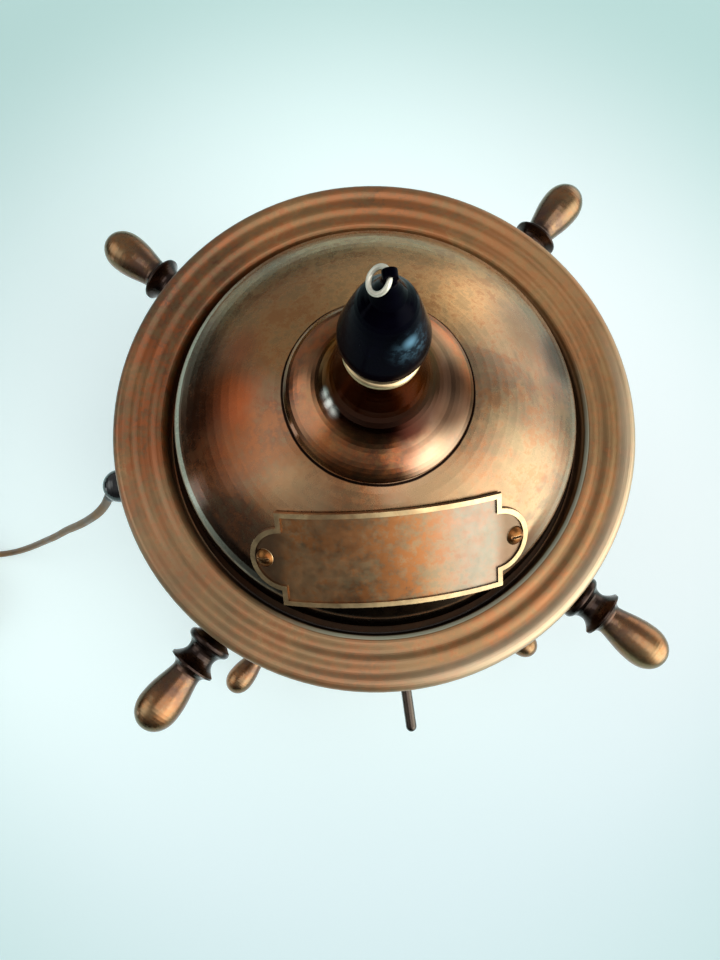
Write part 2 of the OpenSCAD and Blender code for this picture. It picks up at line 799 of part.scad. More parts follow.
module housing_holes(s) {
    for (i = [0:rod_n - 1])
        rotate([0, 0, (i + 0.5) * 360 / rod_n])
            translate([rod_circle_r, 0, s * mouth - 5])
                cylinder(h = 10, d = rod_end_d + 2 * slip);
    for (a = [45:90:315])
        rotate([0, 0, a])
            translate([housing_screw_r, 0, s * wheel_face - 6])
                cylinder(h = 12, d = screw_d + 2 * thread_slip);
}

module upper_housing() {
    color([0.55, 0.4, 0.26])
        difference() {
            union() {
                translate([0, 0, mid_z])
                    rotate_extrude()
                        polygon(housing_line());
                for (a = [180, lever_a])
                    translate([0, 0, entry_z])
                        outward(a)
                            translate([0, 0, housing_r + entry_pad_t - entry_wall])
                                cylinder(h = entry_wall, d = entry_pad_d);
            }
            translate([0, 0, mid_z])
                housing_holes(1);
            translate([0, 0, entry_z])
                for (a = [180, lever_a])
                    outward(a)
                        translate([0, 0, housing_r - entry_wall - 5])
                            cylinder(h = entry_wall + 15, d = stem_d + 2 * slip);
        }
}

module lower_housing() {
    color([0.55, 0.4, 0.26])
        translate([0, 0, mid_z])
            difference() {
                rotate_extrude()
                    polygon(flip(housing_line(), -1));
                housing_holes(-1);
            }
}

module housing_screws() {
    color([0.7, 0.55, 0.34])
        for (s = [-1, 1])
            for (a = [45:90:315])
                translate([0, 0, mid_z + s * (wheel_face + flange_t)])
                    rotate([0, 0, a])
                        translate([housing_screw_r, 0, 0])
                            rotate([s > 0 ? 0 : 180, 0, 0]) {
                                cylinder(h = 2.4, d = 7);
                                translate([0, 0, -flange_t - housing_flange_t])
                                    cylinder(h = flange_t + housing_flange_t + 1, d = screw_d);
                            }
}

module glass_gaskets() {
    color([0.12, 0.12, 0.12])
        for (s = [-1, 1])
            translate([0, 0, mid_z + s * (mouth - gasket_t / 2) - gasket_t / 2 + seat_gap])
                difference() {
                    cylinder(h = gasket_t - 2 * seat_gap, r = glass_r + 0.6);
                    translate([0, 0, -1])
                        cylinder(h = gasket_t + 2, r = mouth_r + 1);
                }
}

module glass_cylinder() {
    color([0.85, 0.92, 0.92, 0.4])
        translate([0, 0, mid_z - glass_half])
            difference() {
                cylinder(h = 2 * glass_half, r = glass_r);
                translate([0, 0, -1])
                    cylinder(h = 2 * glass_half + 2, r = glass_r - glass_wall);
            }
}

rod_nut_t = 3.2;
rod_nut_at = mouth + housing_wall + seat_gap + rod_nut_t / 2;

module guard_rods() {
    far = mouth + housing_wall + rod_nut_t + 1.2;
    color([0.66, 0.48, 0.28])
        for (i = [0:rod_n - 1])
            rotate([0, 0, (i + 0.5) * 360 / rod_n])
                translate([rod_circle_r, 0, mid_z]) {
                    translate([0, 0, -mouth + seat_gap])
                        cylinder(h = 2 * mouth - 2 * seat_gap, d = rod_d);
                    translate([0, 0, -far])
                        cylinder(h = 2 * far, d = rod_end_d);
                }
}

module rod_nuts() {
    color([0.7, 0.55, 0.34])
        for (s = [-1, 1])
            for (i = [0:rod_n - 1])
                rotate([0, 0, (i + 0.5) * 360 / rod_n])
                    translate([rod_circle_r, 0, mid_z + s * rod_nut_at - rod_nut_t / 2])
                        nut(7, rod_nut_t, rod_end_d + 2 * thread_slip);
}

module guard_hoops() {
    in = rod_circle_r + rod_d / 2 - 2.2;
    color([0.66, 0.48, 0.28])
        for (s = [-1, 1])
            translate([0, 0, mid_z + s * hoop_gap / 2 - hoop_h / 2])
                difference() {
                    rotate_extrude()
                        polygon([[in, 0], [in + hoop_t - 0.8, 0], [in + hoop_t, 0.8],
                            [in + hoop_t, hoop_h - 0.8], [in + hoop_t - 0.8, hoop_h], [in, hoop_h]]);
                    for (i = [0:rod_n - 1])
                        rotate([0, 0, (i + 0.5) * 360 / rod_n])
                            translate([rod_circle_r, 0, -1])
                                cylinder(h = hoop_h + 2, d = rod_d + 2 * seat_gap);
                }
}

// Base: a cast weight held up against the lower ring's ledge, with felt under it.
weight_top = base_top - ring_flange_t - seat_gap;
base_head_low = felt_t + 1.5;
base_head_t = 4;

module base_weight() {
    color([0.2, 0.2, 0.2])
        difference() {
            rotate_extrude()
                polygon([[0, felt_t], [weight_r - 1, felt_t], [weight_r, felt_t + 1],
                    [weight_r, weight_top], [weight_r - weight_rim, weight_top],
                    [weight_r - weight_rim - 1, felt_t + weight_t], [0, felt_t + weight_t]]);
            for (a = [0:90:270])
                rotate([0, 0, a])
                    translate([screw_circle_r - 2, 0, 0])
                        translate([2, 0, 0]) {
                            translate([0, 0, felt_t - 1])
                                cylinder(h = 40, d = base_screw_d + 2 * slip);
                        }
            for (a = [0:90:270])
                rotate([0, 0, a])
                    translate([screw_circle_r, 0, felt_t - 1])
                        cylinder(h = base_head_low - felt_t + 1 + base_head_t, d = 8.6);
            for (a = [45:90:315])
                rotate([0, 0, a])
                    translate([screw_circle_r, 0, weight_top - 0.5])
                        cylinder(h = 5, d = screw_head_d + 0.8);
        }
}

module base_screws() {
    color([0.6, 0.6, 0.6])
        for (a = [0:90:270])
            rotate([0, 0, a])
                translate([screw_circle_r, 0, 0]) {
                    translate([0, 0, base_head_low])
                        cylinder(h = base_head_t - seat_gap, d = 8.2);
                    translate([0, 0, base_head_low])
                        cylinder(h = base_top + flange_t - base_head_low, d = base_screw_d);
                }
}

module base_felt() {
    color([0.1, 0.25, 0.16])
        cylinder(h = felt_t, r = screw_circle_r - 6);
}

// Lamp: a strap under the band's ledge carries the lampholder on a threaded tube.
strap_low = flange_under - strap_t;
strap_half = screw_circle_r + 8;
nipple_nut_t = 4;
block_x = -42;
block_l = 20;
block_h = 12;
lead_hole_x = -22;
holder_top = strap_low - nipple_nut_t - 1;
body_top = holder_top - 20;
body_low = holder_top - holder_h;
cap_top = body_top - 6;
cap_low = cap_top - 28;
holder_r = holder_d / 2;
cap_r = cap_d / 2;
nipple_r = nipple_d / 2;

module lampholder_strap() {
    color([0.7, 0.56, 0.34])
        difference() {
            translate([0, 0, strap_low])
                intersection() {
                    translate([-strap_half, -strap_w / 2, 0])
                        cube([2 * strap_half, strap_w, strap_t - seat_gap]);
                    translate([0, 0, -1])
                        cylinder(h = strap_t + 2, r = strap_half);
                }
            for (x = [-screw_circle_r, screw_circle_r])
                translate([x, 0, strap_low - 1])
                    cylinder(h = strap_t + 2, d = screw_d + 2 * thread_slip);
            translate([0, 0, strap_low - 1])
                cylinder(h = strap_t + 2, r = nipple_r + slip);
            translate([lead_hole_x, 0, strap_low - 1])
                cylinder(h = strap_t + 2, d = 7);
            translate([block_x, 0, strap_low - 1])
                cylinder(h = strap_t + 2, d = 4 + 2 * slip);
        }
}

module strap_screws() {
    color([0.7, 0.55, 0.34])
        for (a = [0, 180])
            rotate([0, 0, a])
                translate([screw_circle_r, 0, ring_z + ring_flange_t - ring_h])
                    flat_screw(ring_flange_t + flange_t + strap_t);
}

module lampholder_nipple() {
    color([0.72, 0.58, 0.36])
        translate([0, 0, holder_top - 9])
            difference() {
                cylinder(h = flange_under + nipple_nut_t + 2.5 - holder_top + 9, r = nipple_r);
                translate([0, 0, -1])
                    cylinder(h = 60, r = nipple_r - 1.5);
            }
}

module nipple_nuts() {
    color([0.72, 0.58, 0.36]) {
        translate([0, 0, strap_low - nipple_nut_t - seat_gap])
            nut(14, nipple_nut_t, nipple_d + 2 * thread_slip);
        translate([0, 0, flange_under])
            nut(14, nipple_nut_t, nipple_d + 2 * thread_slip);
    }
}

module lampholder_cap() {
    bore = nipple_r + thread_slip;
    color([0.1, 0.1, 0.1])
        rotate_extrude()
            polygon([[bore, holder_top - 0.1], [nipple_r + 3, holder_top - 0.1],
                [nipple_r + 4, holder_top - 6], [holder_r - 4, holder_top - 9],
                [holder_r, holder_top - 14], [holder_r, body_top + seat_gap],
                [holder_r - 1.8, body_top + seat_gap], [holder_r - 1.8, holder_top - 13],
                [holder_r - 5, holder_top - 10.6], [bore, holder_top - 8.6]]);
}

module lampholder_body() {
    color([0.1, 0.1, 0.1])
        rotate_extrude()
            polygon([[holder_r - 2.6, body_low], [holder_r - 1, body_low],
                [holder_r, body_low + 1], [holder_r, body_top],
                [holder_r - 1.9, body_top], [holder_r - 1.9, body_top + 4],
                [holder_r - 3.4, body_top + 4], [holder_r - 3.4, body_top],
                [holder_r - 2.6, body_top]]);
}

module lampholder_insert() {
    out = holder_r - 2.6 - slip;
    color([0.92, 0.91, 0.87])
        rotate_extrude()
            polygon([[0, cap_top + seat_gap], [cap_r + slip, cap_top + seat_gap],
                [cap_r + slip, cap_low + 1], [out - 1, cap_low + 1], [out, cap_low + 2],
                [out, body_top - seat_gap], [0, body_top - seat_gap]]);
}

module bulb_cap() {
    color([0.8, 0.8, 0.8])
        rotate_extrude()
            polygon([[0, cap_top], [4.6, cap_top], [4.6, cap_top - 1.5], [9, cap_top - 3.4],
                [cap_r, cap_top - 5], [cap_r, cap_low], [cap_r - 0.8, cap_low],
                [cap_r - 0.8, cap_top - 6], [8.6, cap_top - 4.6], [4, cap_top - 2.6],
                [0, cap_top - 2.6]]);
}

module bulb_glass() {
    neck = cap_r - 0.8 - slip;
    far = body_low - bulb_l;
    round_z = far + bulb_d / 2;
    line = concat(
        [[neck, cap_low + 5], [neck, cap_low - 4]],
        bez([neck, cap_low - 4], [neck, cap_low - 16], [bulb_d / 2, round_z + 22],
            [bulb_d / 2, round_z], 10),
        [for (i = [1:11]) [bulb_d / 2 * cos(90 * i / 11.5), round_z - bulb_d / 2 * sin(90 * i / 11.5)]]);
    inner = aside(line, bulb_wall);
    color([0.97, 0.96, 0.9])
        rotate_extrude()
            polygon(concat(line, [[0, far], [0, far + bulb_wall]], back(inner)));
}

// Cord entry: a gland with a round end; the strain relief leaves it downward and outward.
entry_face = housing_r + entry_pad_t;
ball_r = gland_d / 2;
gland_ball_x = -(gland_reach - ball_r);
relief_dir = unit([-0.5, -0.05, -0.8645]);
relief_r = relief_d / 2;
stem_in = entry_face - entry_wall - stem_nut_t - 4;

module cord_gland() {
    color([0.05, 0.05, 0.05])
        difference() {
            union() {
                translate([0, 0, entry_z])
                    outward(180)
                        rotate_extrude()
                            polygon(concat(
                                [[0, stem_in], [stem_d / 2, stem_in], [stem_d / 2, entry_face + seat_gap]],
                                [[12, entry_face + seat_gap], [12, entry_face + 2.4]],
                                [[11.4, entry_face + stem_flange_t], [ball_r + 1, entry_face + stem_flange_t]],
                                [[ball_r, entry_face + stem_flange_t + 1.4]],
                                arc_pts(0, gland_reach - ball_r, ball_r, 0, 90, 10)));
            }
            translate([gland_ball_x, 0, entry_z])
                rotate([0, 0, atan2(relief_dir[1], relief_dir[0])])
                    rotate([0, acos(relief_dir[2]), 0])
                        cylinder(h = 30, r = relief_r + slip);
            translate([gland_ball_x, 0, entry_z])
                rotate([0, 90, 0])
                    cylinder(h = 60, r = cord_d / 2 + slip);
        }
}

module gland_nut() {
    color([0.05, 0.05, 0.05])
        translate([0, 0, entry_z])
            outward(180)
                translate([0, 0, entry_face - entry_wall - stem_nut_t - seat_gap])
                    nut(stem_nut_af, stem_nut_t, stem_d + 2 * thread_slip);
}

module strain_relief() {
    color([0.07, 0.06, 0.05])
        translate([gland_ball_x, 0, entry_z])
            rotate([0, 0, atan2(relief_dir[1], relief_dir[0])])
                rotate([0, acos(relief_dir[2]), 0])
                    rotate_extrude()
                        polygon([[0, 0.1], [relief_r, 0.1], [relief_r, ball_r + 0.6],
                            [relief_r - 0.9, ball_r + 2.4], [cord_d / 2 + 0.8, relief_l - 0.4],
                            [cord_d / 2 + 0.4, relief_l], [0, relief_l]]);
}

module terminal_block() {
    color([0.9, 0.88, 0.8])
        translate([block_x, 0, strap_low - block_h - seat_gap]) {
            difference() {
                translate([-block_l / 2, -9, 0])
                    cube([block_l, 18, block_h]);
                for (y = [-4.5, 4.5])
                    translate([0, y, -1])
                        cylinder(h = 5, d = 5);
            }
            cylinder(h = block_h + strap_t + 1.6, d = 4);
        }
}

// Leads inside the lamp, each from one piece's face to another's, with straight ends.
lead_z = strap_low - block_h / 2;
block_a = block_x - block_l / 2;
block_b = block_x + block_l / 2;
switch_back = -(entry_face - 33.5);
lead_gap = 0.2;
flange_gap = 5;
flange_x = flange_gap - inner_flange_d / 2;

// Turns a place in front of the lamp's axis round to the lever's angle.
function round_to(p) = let (a = lever_a - 270)
    [p[0] * cos(a) - p[1] * sin(a), p[0] * sin(a) + p[1] * cos(a), p[2]];

module inner_leads() {
    color([0.75, 0.72, 0.66]) {
        tube(through([[-stem_in + lead_gap, 0, entry_z], [-stem_in + 2, 0, entry_z],
            [-stem_in + 4, 0, entry_z], [-stem_in + 12, 0, entry_z + 2.5],
            [flange_x - 3.5, 0, entry_z + 9], [flange_x, 0, lead_z - 22],
            [(flange_x + block_a - 8) / 2 - 1, 0, lead_z - 11], [block_a - 8, 0, lead_z - 3],
            [block_a - 4, 0, lead_z], [block_a - 2, 0, lead_z],
            [block_a - lead_gap, 0, lead_z]], 2), cord_d / 2 - 0.3, 8);
        tube(through([[block_b + lead_gap, 0, lead_z], [block_b + 1.5, 0, lead_z],
            [block_b + 3, 0, lead_z], [block_b + 8, 0, lead_z + 2.6],
            [lead_hole_x, 0, strap_low + 1.5], [lead_hole_x + 0.5, 0, strap_low + 8],
            [lead_hole_x + 5, 0, strap_low + 15], [lead_hole_x + 12, 0, strap_low + 18],
            [-4.5, 0, strap_low + 16.5], [-0.8, 0, strap_low + 12], [0, 0, strap_low + 6],
            [0, 0, strap_low - 5], [0, 0, body_top + 9], [0, 0, body_top + lead_gap]], 2), 1.4, 6);
        tube(through([[block_x + 5, -9 - lead_gap, lead_z], [block_x + 5, -11, lead_z],
            [block_x + 5, -13, lead_z], [block_x + 7, -22, lead_z - 5],
            [block_x + 12, -36, lead_z - 18], [block_x + 22, -48, entry_z + 12],
            [-9, switch_back + 12.5, entry_z + 6], round_to([-2, switch_back + 8, entry_z + 4.2]),
            round_to([0, switch_back + 4, entry_z + 4]), round_to([0, switch_back + 2, entry_z + 4]),
            round_to([0, switch_back + lead_gap, entry_z + 4])], 2), 1.1, 6);
        tube(through([[block_x - 5, -9 - lead_gap, lead_z], [block_x - 5, -11, lead_z],
            [block_x - 5, -13, lead_z], [block_x - 4, -24, lead_z - 6],
            [block_x + 2, -40, lead_z - 22], [block_x + 14, -52, entry_z + 4],
            [-12, switch_back + 12, entry_z - 2.5], round_to([-2.5, switch_back + 8, entry_z - 4]),
            round_to([0, switch_back + 4, entry_z - 4]), round_to([0, switch_back + 2, entry_z - 4]),
            round_to([0, switch_back + lead_gap, entry_z - 4])], 2), 1.1, 6);
    }
}

// Switch: a rocking lever in a bush; its pin turns in two holes across the bush.
pivot_y = entry_face + 4;
lever_ball_r = 3.9;
lever_r = lever_d / 2;
lever_tail = 12;
bush_r = bush_d / 2;
bush_nose = pivot_y + 4;
bush_in = entry_face - entry_wall - stem_nut_t - 3;
lever_pin_r = 0.8;

// Turns a piece made at the front round to the lever's angle.
module at_lever() {
    rotate([0, 0, lever_a - 270])
        translate([0, 0, entry_z])
            children();
}

module switch_bush() {
    color([0.1, 0.1, 0.1])
        at_lever()
            difference() {
                outward(270)
                    rotate_extrude()
                        polygon([[lever_ball_r + slip, bush_in], [stem_d / 2, bush_in],
                            [stem_d / 2, entry_face + seat_gap], [bush_r + 2.4, entry_face + seat_gap],
                            [bush_r + 2.4, entry_face + 1.6], [bush_r + 1.8, entry_face + 2.2],
                            [bush_r - 0.4, entry_face + 2.2], [bush_r - 0.4, bush_nose - 0.8],
                            [bush_r - 1.2, bush_nose], [lever_ball_r + slip, bush_nose]]);
                translate([-20, -pivot_y, 0])
                    rotate([0, 90, 0])
                        cylinder(h = 40, r = lever_pin_r + 0.1);
            }
}

module switch_nut() {
    color([0.72, 0.58, 0.36])
        at_lever()
            outward(270)
                translate([0, 0, entry_face - entry_wall - stem_nut_t - seat_gap])
                    nut(stem_nut_af, stem_nut_t, stem_d + 2 * thread_slip);
}

module switch_body() {
    front = entry_face - entry_wall - stem_nut_t - 2 * seat_gap;
    color([0.13, 0.1, 0.08])
        at_lever()
            difference() {
                translate([-9, -front, -11])
                    cube([18, front + switch_back, 22]);
                translate([0, -bush_in + 2 * slip, 0])
                    rotate([90, 0, 0])
                        cylinder(h = 20, d = stem_d + 2 * slip);
            }
}

module switch_lever() {
    color([0.5, 0.36, 0.2])
        at_lever()
            translate([0, -pivot_y, 0]) {
                rotate([90 + lever_droop, 0, 0])
                    rotate_extrude()
                        polygon(concat(
                            [[0, -lever_tail], [1.1, -lever_tail], [1.5, -lever_tail + 0.6]],
                            arc_pts(0, 0, lever_ball_r, -67, 48, 14),
                            [[lever_r, 4.6], [lever_r, lever_reach - pivot_y - lever_r]],
                            arc_pts(0, lever_reach - pivot_y - lever_r, lever_r, 12, 90, 7)));
                translate([-bush_r + 0.5, 0, 0])
                    rotate([0, 90, 0])
                        cylinder(h = bush_d - 1, r = lever_pin_r);
            }
}

// Cord: from the strain relief down to the table, then a neat coil and the plug.
exit = [gland_ball_x, 0, entry_z] + relief_dir * relief_l;
cord_r = cord_d / 2;
coil_c = [-350, -19];
coil_in = 21.8;
coil_out = 33;
coil_pitch = cord_d + 0.6;
coil_turns = 8.25;
lie_z = cord_r + 0.2;

cord_route = [
    exit + relief_dir * 0.2, exit + relief_dir * 2.7, exit + relief_dir * 5.2,
    [-148, -2.6, 236], [-157, -3.6, 220], [-168, -3, 201],
    [-182, -1, 176], [-202, 3, 140], [-223, 6, 103], [-244, 9, 69], [-263, 10.6, 42.5],
    [-280, 11.6, 23.2], [-296, 12.7, 10], [-311, 13.6, 4.2], [-326, 14, lie_z],
    [-338, 14, lie_z], [coil_c[0], coil_c[1] + coil_out, lie_z]
];

// Radius and height of the coil after u turns: four layers of two turns each, then on outward.
function coil_r(u) = let (v = u > 8 ? 8 - u : u - 4 * floor(u / 4))
    coil_out - (coil_out - coil_in) / 2 * (v < 2 ? v : 4 - v);
function coil_z(u) = lie_z + coil_pitch * (
    u < 1.75 ? 0 : u < 2.25 ? (u - 1.75) * 2 : u < 3.75 ? 1 : u < 4.25 ? 1 + (u - 3.75) * 2 :
    u < 5.75 ? 2 : u < 6.25 ? 2 + (u - 5.75) * 2 : 3);
function coil_at(u) = [coil_c[0] + coil_r(u) * cos(90 + 360 * u),
    coil_c[1] + coil_r(u) * sin(90 + 360 * u), coil_z(u)];
coil_n = coil_turns * 24;
coil_path = concat(
    [coil_at(0), coil_at(0) + [-cord_d, 0, 0]],
    [for (i = [2:coil_n - 2]) coil_at(i / 24)],
    [coil_at(coil_turns) + [0, cord_d, 0], coil_at(coil_turns)]);

plug_mid = plug_h / 2;
tail_x = coil_c[0] - coil_r(coil_turns);
tail_y = coil_c[1];
tail_z = coil_z(coil_turns);
tail_route = [
    [tail_x, tail_y - 0.2, tail_z], [tail_x, tail_y - 5, tail_z], [tail_x - 0.4, tail_y - 14, tail_z - 1.4],
    [tail_x - 1, tail_y - 26, tail_z - 5.6], [tail_x - 1.2, tail_y - 38, plug_mid + 1.6],
    [tail_x - 1.2, tail_y - 46.6, plug_mid], [tail_x - 1.2, tail_y - 49.2, plug_mid],
    [tail_x - 1.2, tail_y - 51.8, plug_mid]
];
plug_x = tail_x - 1.2;
plug_y = tail_y - 52;
boot_l = 20;

module cord() {
    color([0.32, 0.22, 0.15])
        tube(through(cord_route, 2), cord_r, 8);
}

module cord_coil() {
    color([0.32, 0.22, 0.15])
        tube(coil_path, cord_r, 6);
}

module cord_tail() {
    color([0.32, 0.22, 0.15])
        tube(through(tail_route, 3), cord_r, 8);
}

module plug_body() {
    color([0.07, 0.07, 0.07])
        translate([plug_x, plug_y, plug_mid])
            rotate([90, 0, 0])
                difference() {
                    union() {
                        cylinder(h = boot_l, r1 = cord_r + 0.4, r2 = 5.2);
                        translate([0, 0, boot_l - 3])
                            intersection() {
                                translate([-plug_w / 2, -plug_h / 2, 0])
                                    cube([plug_w, plug_h, plug_l]);
                                cylinder(h = plug_l, r1 = 9, r2 = 40);
                                translate([0, 0, 0])
                                    cylinder(h = plug_l, r = plug_w / 2 + 0.4);
                            }
                    }
                    for (x = [-pin_gap / 2, pin_gap / 2])
                        translate([x, 0, boot_l - 3 + plug_l - 8])
                            cylinder(h = 12, d = pin_d + 2 * seat_gap);
                }
}

module plug_pins() {
    color([0.8, 0.8, 0.8])
        translate([plug_x, plug_y, plug_mid])
            rotate([90, 0, 0])
                for (x = [-pin_gap / 2, pin_gap / 2])
                    translate([x, 0, boot_l - 3 + plug_l - 8])
                        rotate_extrude()
                            polygon([[0, 0.1], [pin_d / 2, 0.1], [pin_d / 2, 8 + pin_l - 1.2],
                                [pin_d / 2 - 1, 8 + pin_l], [0, 8 + pin_l]]);
}

// The coil's least gap between two of its own turns.
echo(coil_gap = min([for (i = [0:coil_n]) for (j = [i + 12:coil_n])
    norm(coil_at(i / 24) - coil_at(j / 24))]) - cord_d);

cover_dome();
cover_boss();
neck_ring();
top_knob();
knob_stud();
knob_nut();
hanging_ring();
nameplate();
nameplate_screws();
upper_ring();
ring_screws();
upper_wheel_band();
upper_handle_front_right();
upper_handle_rear_right();
upper_handle_rear_left();
upper_handle_front_left();
upper_housing();
glass_gaskets();
glass_cylinder();
guard_rods();
rod_nuts();
guard_hoops();
lower_housing();
housing_screws();
lower_wheel_band();
lower_handle_front_right();
lower_handle_rear_right();
lower_handle_rear_left();
lower_handle_front_left();
handle_nuts();
lower_ring();
base_weight();
base_screws();
base_felt();
lampholder_strap();
strap_screws();
lampholder_nipple();
nipple_nuts();
lampholder_cap();
lampholder_body();
lampholder_insert();
bulb_cap();
bulb_glass();
cord_gland();
gland_nut();
strain_relief();
terminal_block();
inner_leads();
switch_body();
switch_bush();
switch_nut();
switch_lever();
cord();
cord_coil();
cord_tail();
plug_body();
plug_pins();
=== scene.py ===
import json
import math

import bpy
from mathutils import Matrix, Vector


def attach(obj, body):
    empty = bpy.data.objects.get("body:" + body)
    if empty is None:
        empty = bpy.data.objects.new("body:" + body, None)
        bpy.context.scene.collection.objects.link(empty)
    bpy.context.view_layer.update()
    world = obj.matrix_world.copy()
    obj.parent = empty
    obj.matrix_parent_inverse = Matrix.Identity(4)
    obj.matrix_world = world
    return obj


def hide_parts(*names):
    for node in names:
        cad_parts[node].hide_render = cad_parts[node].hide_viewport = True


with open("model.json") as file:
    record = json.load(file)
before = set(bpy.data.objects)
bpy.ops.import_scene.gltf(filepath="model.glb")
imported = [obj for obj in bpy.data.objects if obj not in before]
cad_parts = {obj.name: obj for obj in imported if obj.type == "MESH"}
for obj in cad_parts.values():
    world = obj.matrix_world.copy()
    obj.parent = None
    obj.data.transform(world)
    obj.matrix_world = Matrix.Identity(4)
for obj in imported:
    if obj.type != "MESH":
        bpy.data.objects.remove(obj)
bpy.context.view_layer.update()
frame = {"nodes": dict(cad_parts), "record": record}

NODES = frame["nodes"]
MM = 0.001

# Camera: fitted to the photograph's 720 x 960 frame, 800 pixels of focal length, centred.
CAMERA_AT = Vector((-20.9, -92.0, 673.4)) * MM
CAMERA_RIGHT = Vector((0.9926, -0.1210, 0.0091))
CAMERA_AHEAD = Vector((0.0326, 0.1942, -0.9804))


def make_camera():
    data = bpy.data.cameras.new("photo_camera")
    data.sensor_fit = "VERTICAL"
    data.sensor_height = 36.0
    data.lens = 30.0
    data.clip_start = 0.01
    data.clip_end = 50.0
    ahead = CAMERA_AHEAD.normalized()
    right = (CAMERA_RIGHT - ahead * CAMERA_RIGHT.dot(ahead)).normalized()
    up = right.cross(ahead)
    turn = Matrix((right, up, -ahead)).transposed().to_4x4()
    camera = bpy.data.objects.new("photo_camera", data)
    camera.matrix_world = Matrix.Translation(CAMERA_AT) @ turn
    bpy.context.scene.collection.objects.link(camera)
    bpy.context.scene.camera = camera


make_camera()

# Cords: the routes repeat the part's source, in millimetres, and become tubes in metres.
CORD_D = 5.0
GLAND_BALL = Vector((-130.5, 0.0, 268.0))
RELIEF_DIR = Vector((-0.5, -0.05, -0.8645)).normalized()
RELIEF_L = 20.0
EXIT = GLAND_BALL + RELIEF_DIR * RELIEF_L
LIE_Z = CORD_D / 2 + 0.2
COIL_X, COIL_Y = -350.0, -19.0
COIL_IN, COIL_OUT = 21.8, 33.0
COIL_PITCH = CORD_D + 0.6
COIL_TURNS = 8.25
PLUG_MID = 6.8

CORD_ROUTE = [
    EXIT + RELIEF_DIR * 0.2, EXIT + RELIEF_DIR * 2.7, EXIT + RELIEF_DIR * 5.2,
    (-148, -2.6, 236), (-157, -3.6, 220), (-168, -3, 201),
    (-182, -1, 176), (-202, 3, 140), (-223, 6, 103), (-244, 9, 69), (-263, 10.6, 42.5),
    (-280, 11.6, 23.2), (-296, 12.7, 10), (-311, 13.6, 4.2), (-326, 14, LIE_Z),
    (-338, 14, LIE_Z), (COIL_X, COIL_Y + COIL_OUT, LIE_Z),
]


def through(points, steps):
    """Points on a smooth line through the given ones."""
    points = [Vector(p) for p in points]
    last = len(points) - 1
    line = []
    for i in range(last):
        a, b, c, d = points[max(i - 1, 0)], points[i], points[i + 1], points[min(i + 2, last)]
        for j in range(steps):
            t = j / steps
            line.append((b * 2 + (c - a) * t + (a * 2 - b * 5 + c * 4 - d) * t ** 2
                         + (b * 3 - a - c * 3 + d) * t ** 3) / 2)
    line.append(points[last])
    return line


def coil_radius(u):
    v = 8 - u if u > 8 else u % 4
    return COIL_OUT - (COIL_OUT - COIL_IN) / 2 * (v if v < 2 else 4 - v)


def coil_height(u):
    layer = sum(min(max((u - k) * 2, 0), 1) for k in (1.75, 3.75, 5.75))
    return LIE_Z + COIL_PITCH * layer


def coil_at(u):
    a = math.radians(90 + 360 * u)
    r = coil_radius(u)
    return Vector((COIL_X + r * math.cos(a), COIL_Y + r * math.sin(a), coil_height(u)))


TAIL_X, TAIL_Y, TAIL_Z = COIL_X - coil_radius(COIL_TURNS), COIL_Y, LIE_Z + 3 * COIL_PITCH
TAIL_ROUTE = [
    (TAIL_X, TAIL_Y, TAIL_Z), (TAIL_X, TAIL_Y - 5, TAIL_Z), (TAIL_X - 0.4, TAIL_Y - 14, TAIL_Z - 1.4),
    (TAIL_X - 1, TAIL_Y - 26, TAIL_Z - 5.6), (TAIL_X - 1.2, TAIL_Y - 38, PLUG_MID + 1.6),
    (TAIL_X - 1.2, TAIL_Y - 46.6, PLUG_MID), (TAIL_X - 1.2, TAIL_Y - 49.2, PLUG_MID),
    (TAIL_X - 1.2, TAIL_Y - 51.8, PLUG_MID),
]


def tube(name, line, radius, sides=12):
    """A closed round tube along a line of points in millimetres, as a mesh in metres."""
    last = len(line) - 1
    verts, faces = [], []
    side = None
    for i, at in enumerate(line):
        along = (line[min(i + 1, last)] - line[max(i - 1, 0)]).normalized()
        if side is None:
            side = Vector((1, 0, 0)) if abs(along.z) > 0.8 else Vector((0, 0, 1))
        side = (side - along * side.dot(along)).normalized()
        other = along.cross(side)
        for j in range(sides):
            a = 2 * math.pi * j / sides
            verts.append((at + side * (radius * math.cos(a)) + other * (radius * math.sin(a))) * MM)
    for i in range(last):
        for j in range(sides):
            k = (j + 1) % sides
            faces.append((i * sides + j, i * sides + k, (i + 1) * sides + k, (i + 1) * sides + j))
    faces.append(tuple(range(sides - 1, -1, -1)))
    faces.append(tuple(range(last * sides, last * sides + sides)))
    mesh = bpy.data.meshes.new(name)
    mesh.from_pydata(verts, [], faces)
    mesh.shade_smooth()
    piece = bpy.data.objects.new(name, mesh)
    bpy.context.scene.collection.objects.link(piece)
    return piece


coil_line = [coil_at(i / 40) for i in range(1, int(COIL_TURNS * 40))]
cord_line = through(CORD_ROUTE, 4) + coil_line + through(TAIL_ROUTE, 4)
cord = tube("mains_cord", cord_line, CORD_D / 2, sides=16)
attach(cord, "lamp")
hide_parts("cord", "cord_coil", "cord_tail")

# Leads inside the lamp, from face to face as in the part's source.
LEAD_GAP = 0.2
LEAD_Z = 309.0
STRAP_Z = 315.0
ENTRY_Z = 268.0
STEM_IN = 87.5
BLOCK_X, BLOCK_L = -42.0, 20.0
BLOCK_A, BLOCK_B = BLOCK_X - BLOCK_L / 2, BLOCK_X + BLOCK_L / 2
HOLE_X = -22.0
INSERT_TOP = 290.0
SWITCH_BACK = -66.0
LEVER_TURN = math.radians(1.2)


def round_to(x, y, z):
    c, s = math.cos(LEVER_TURN), math.sin(LEVER_TURN)
    return (x * c - y * s, x * s + y * c, z)


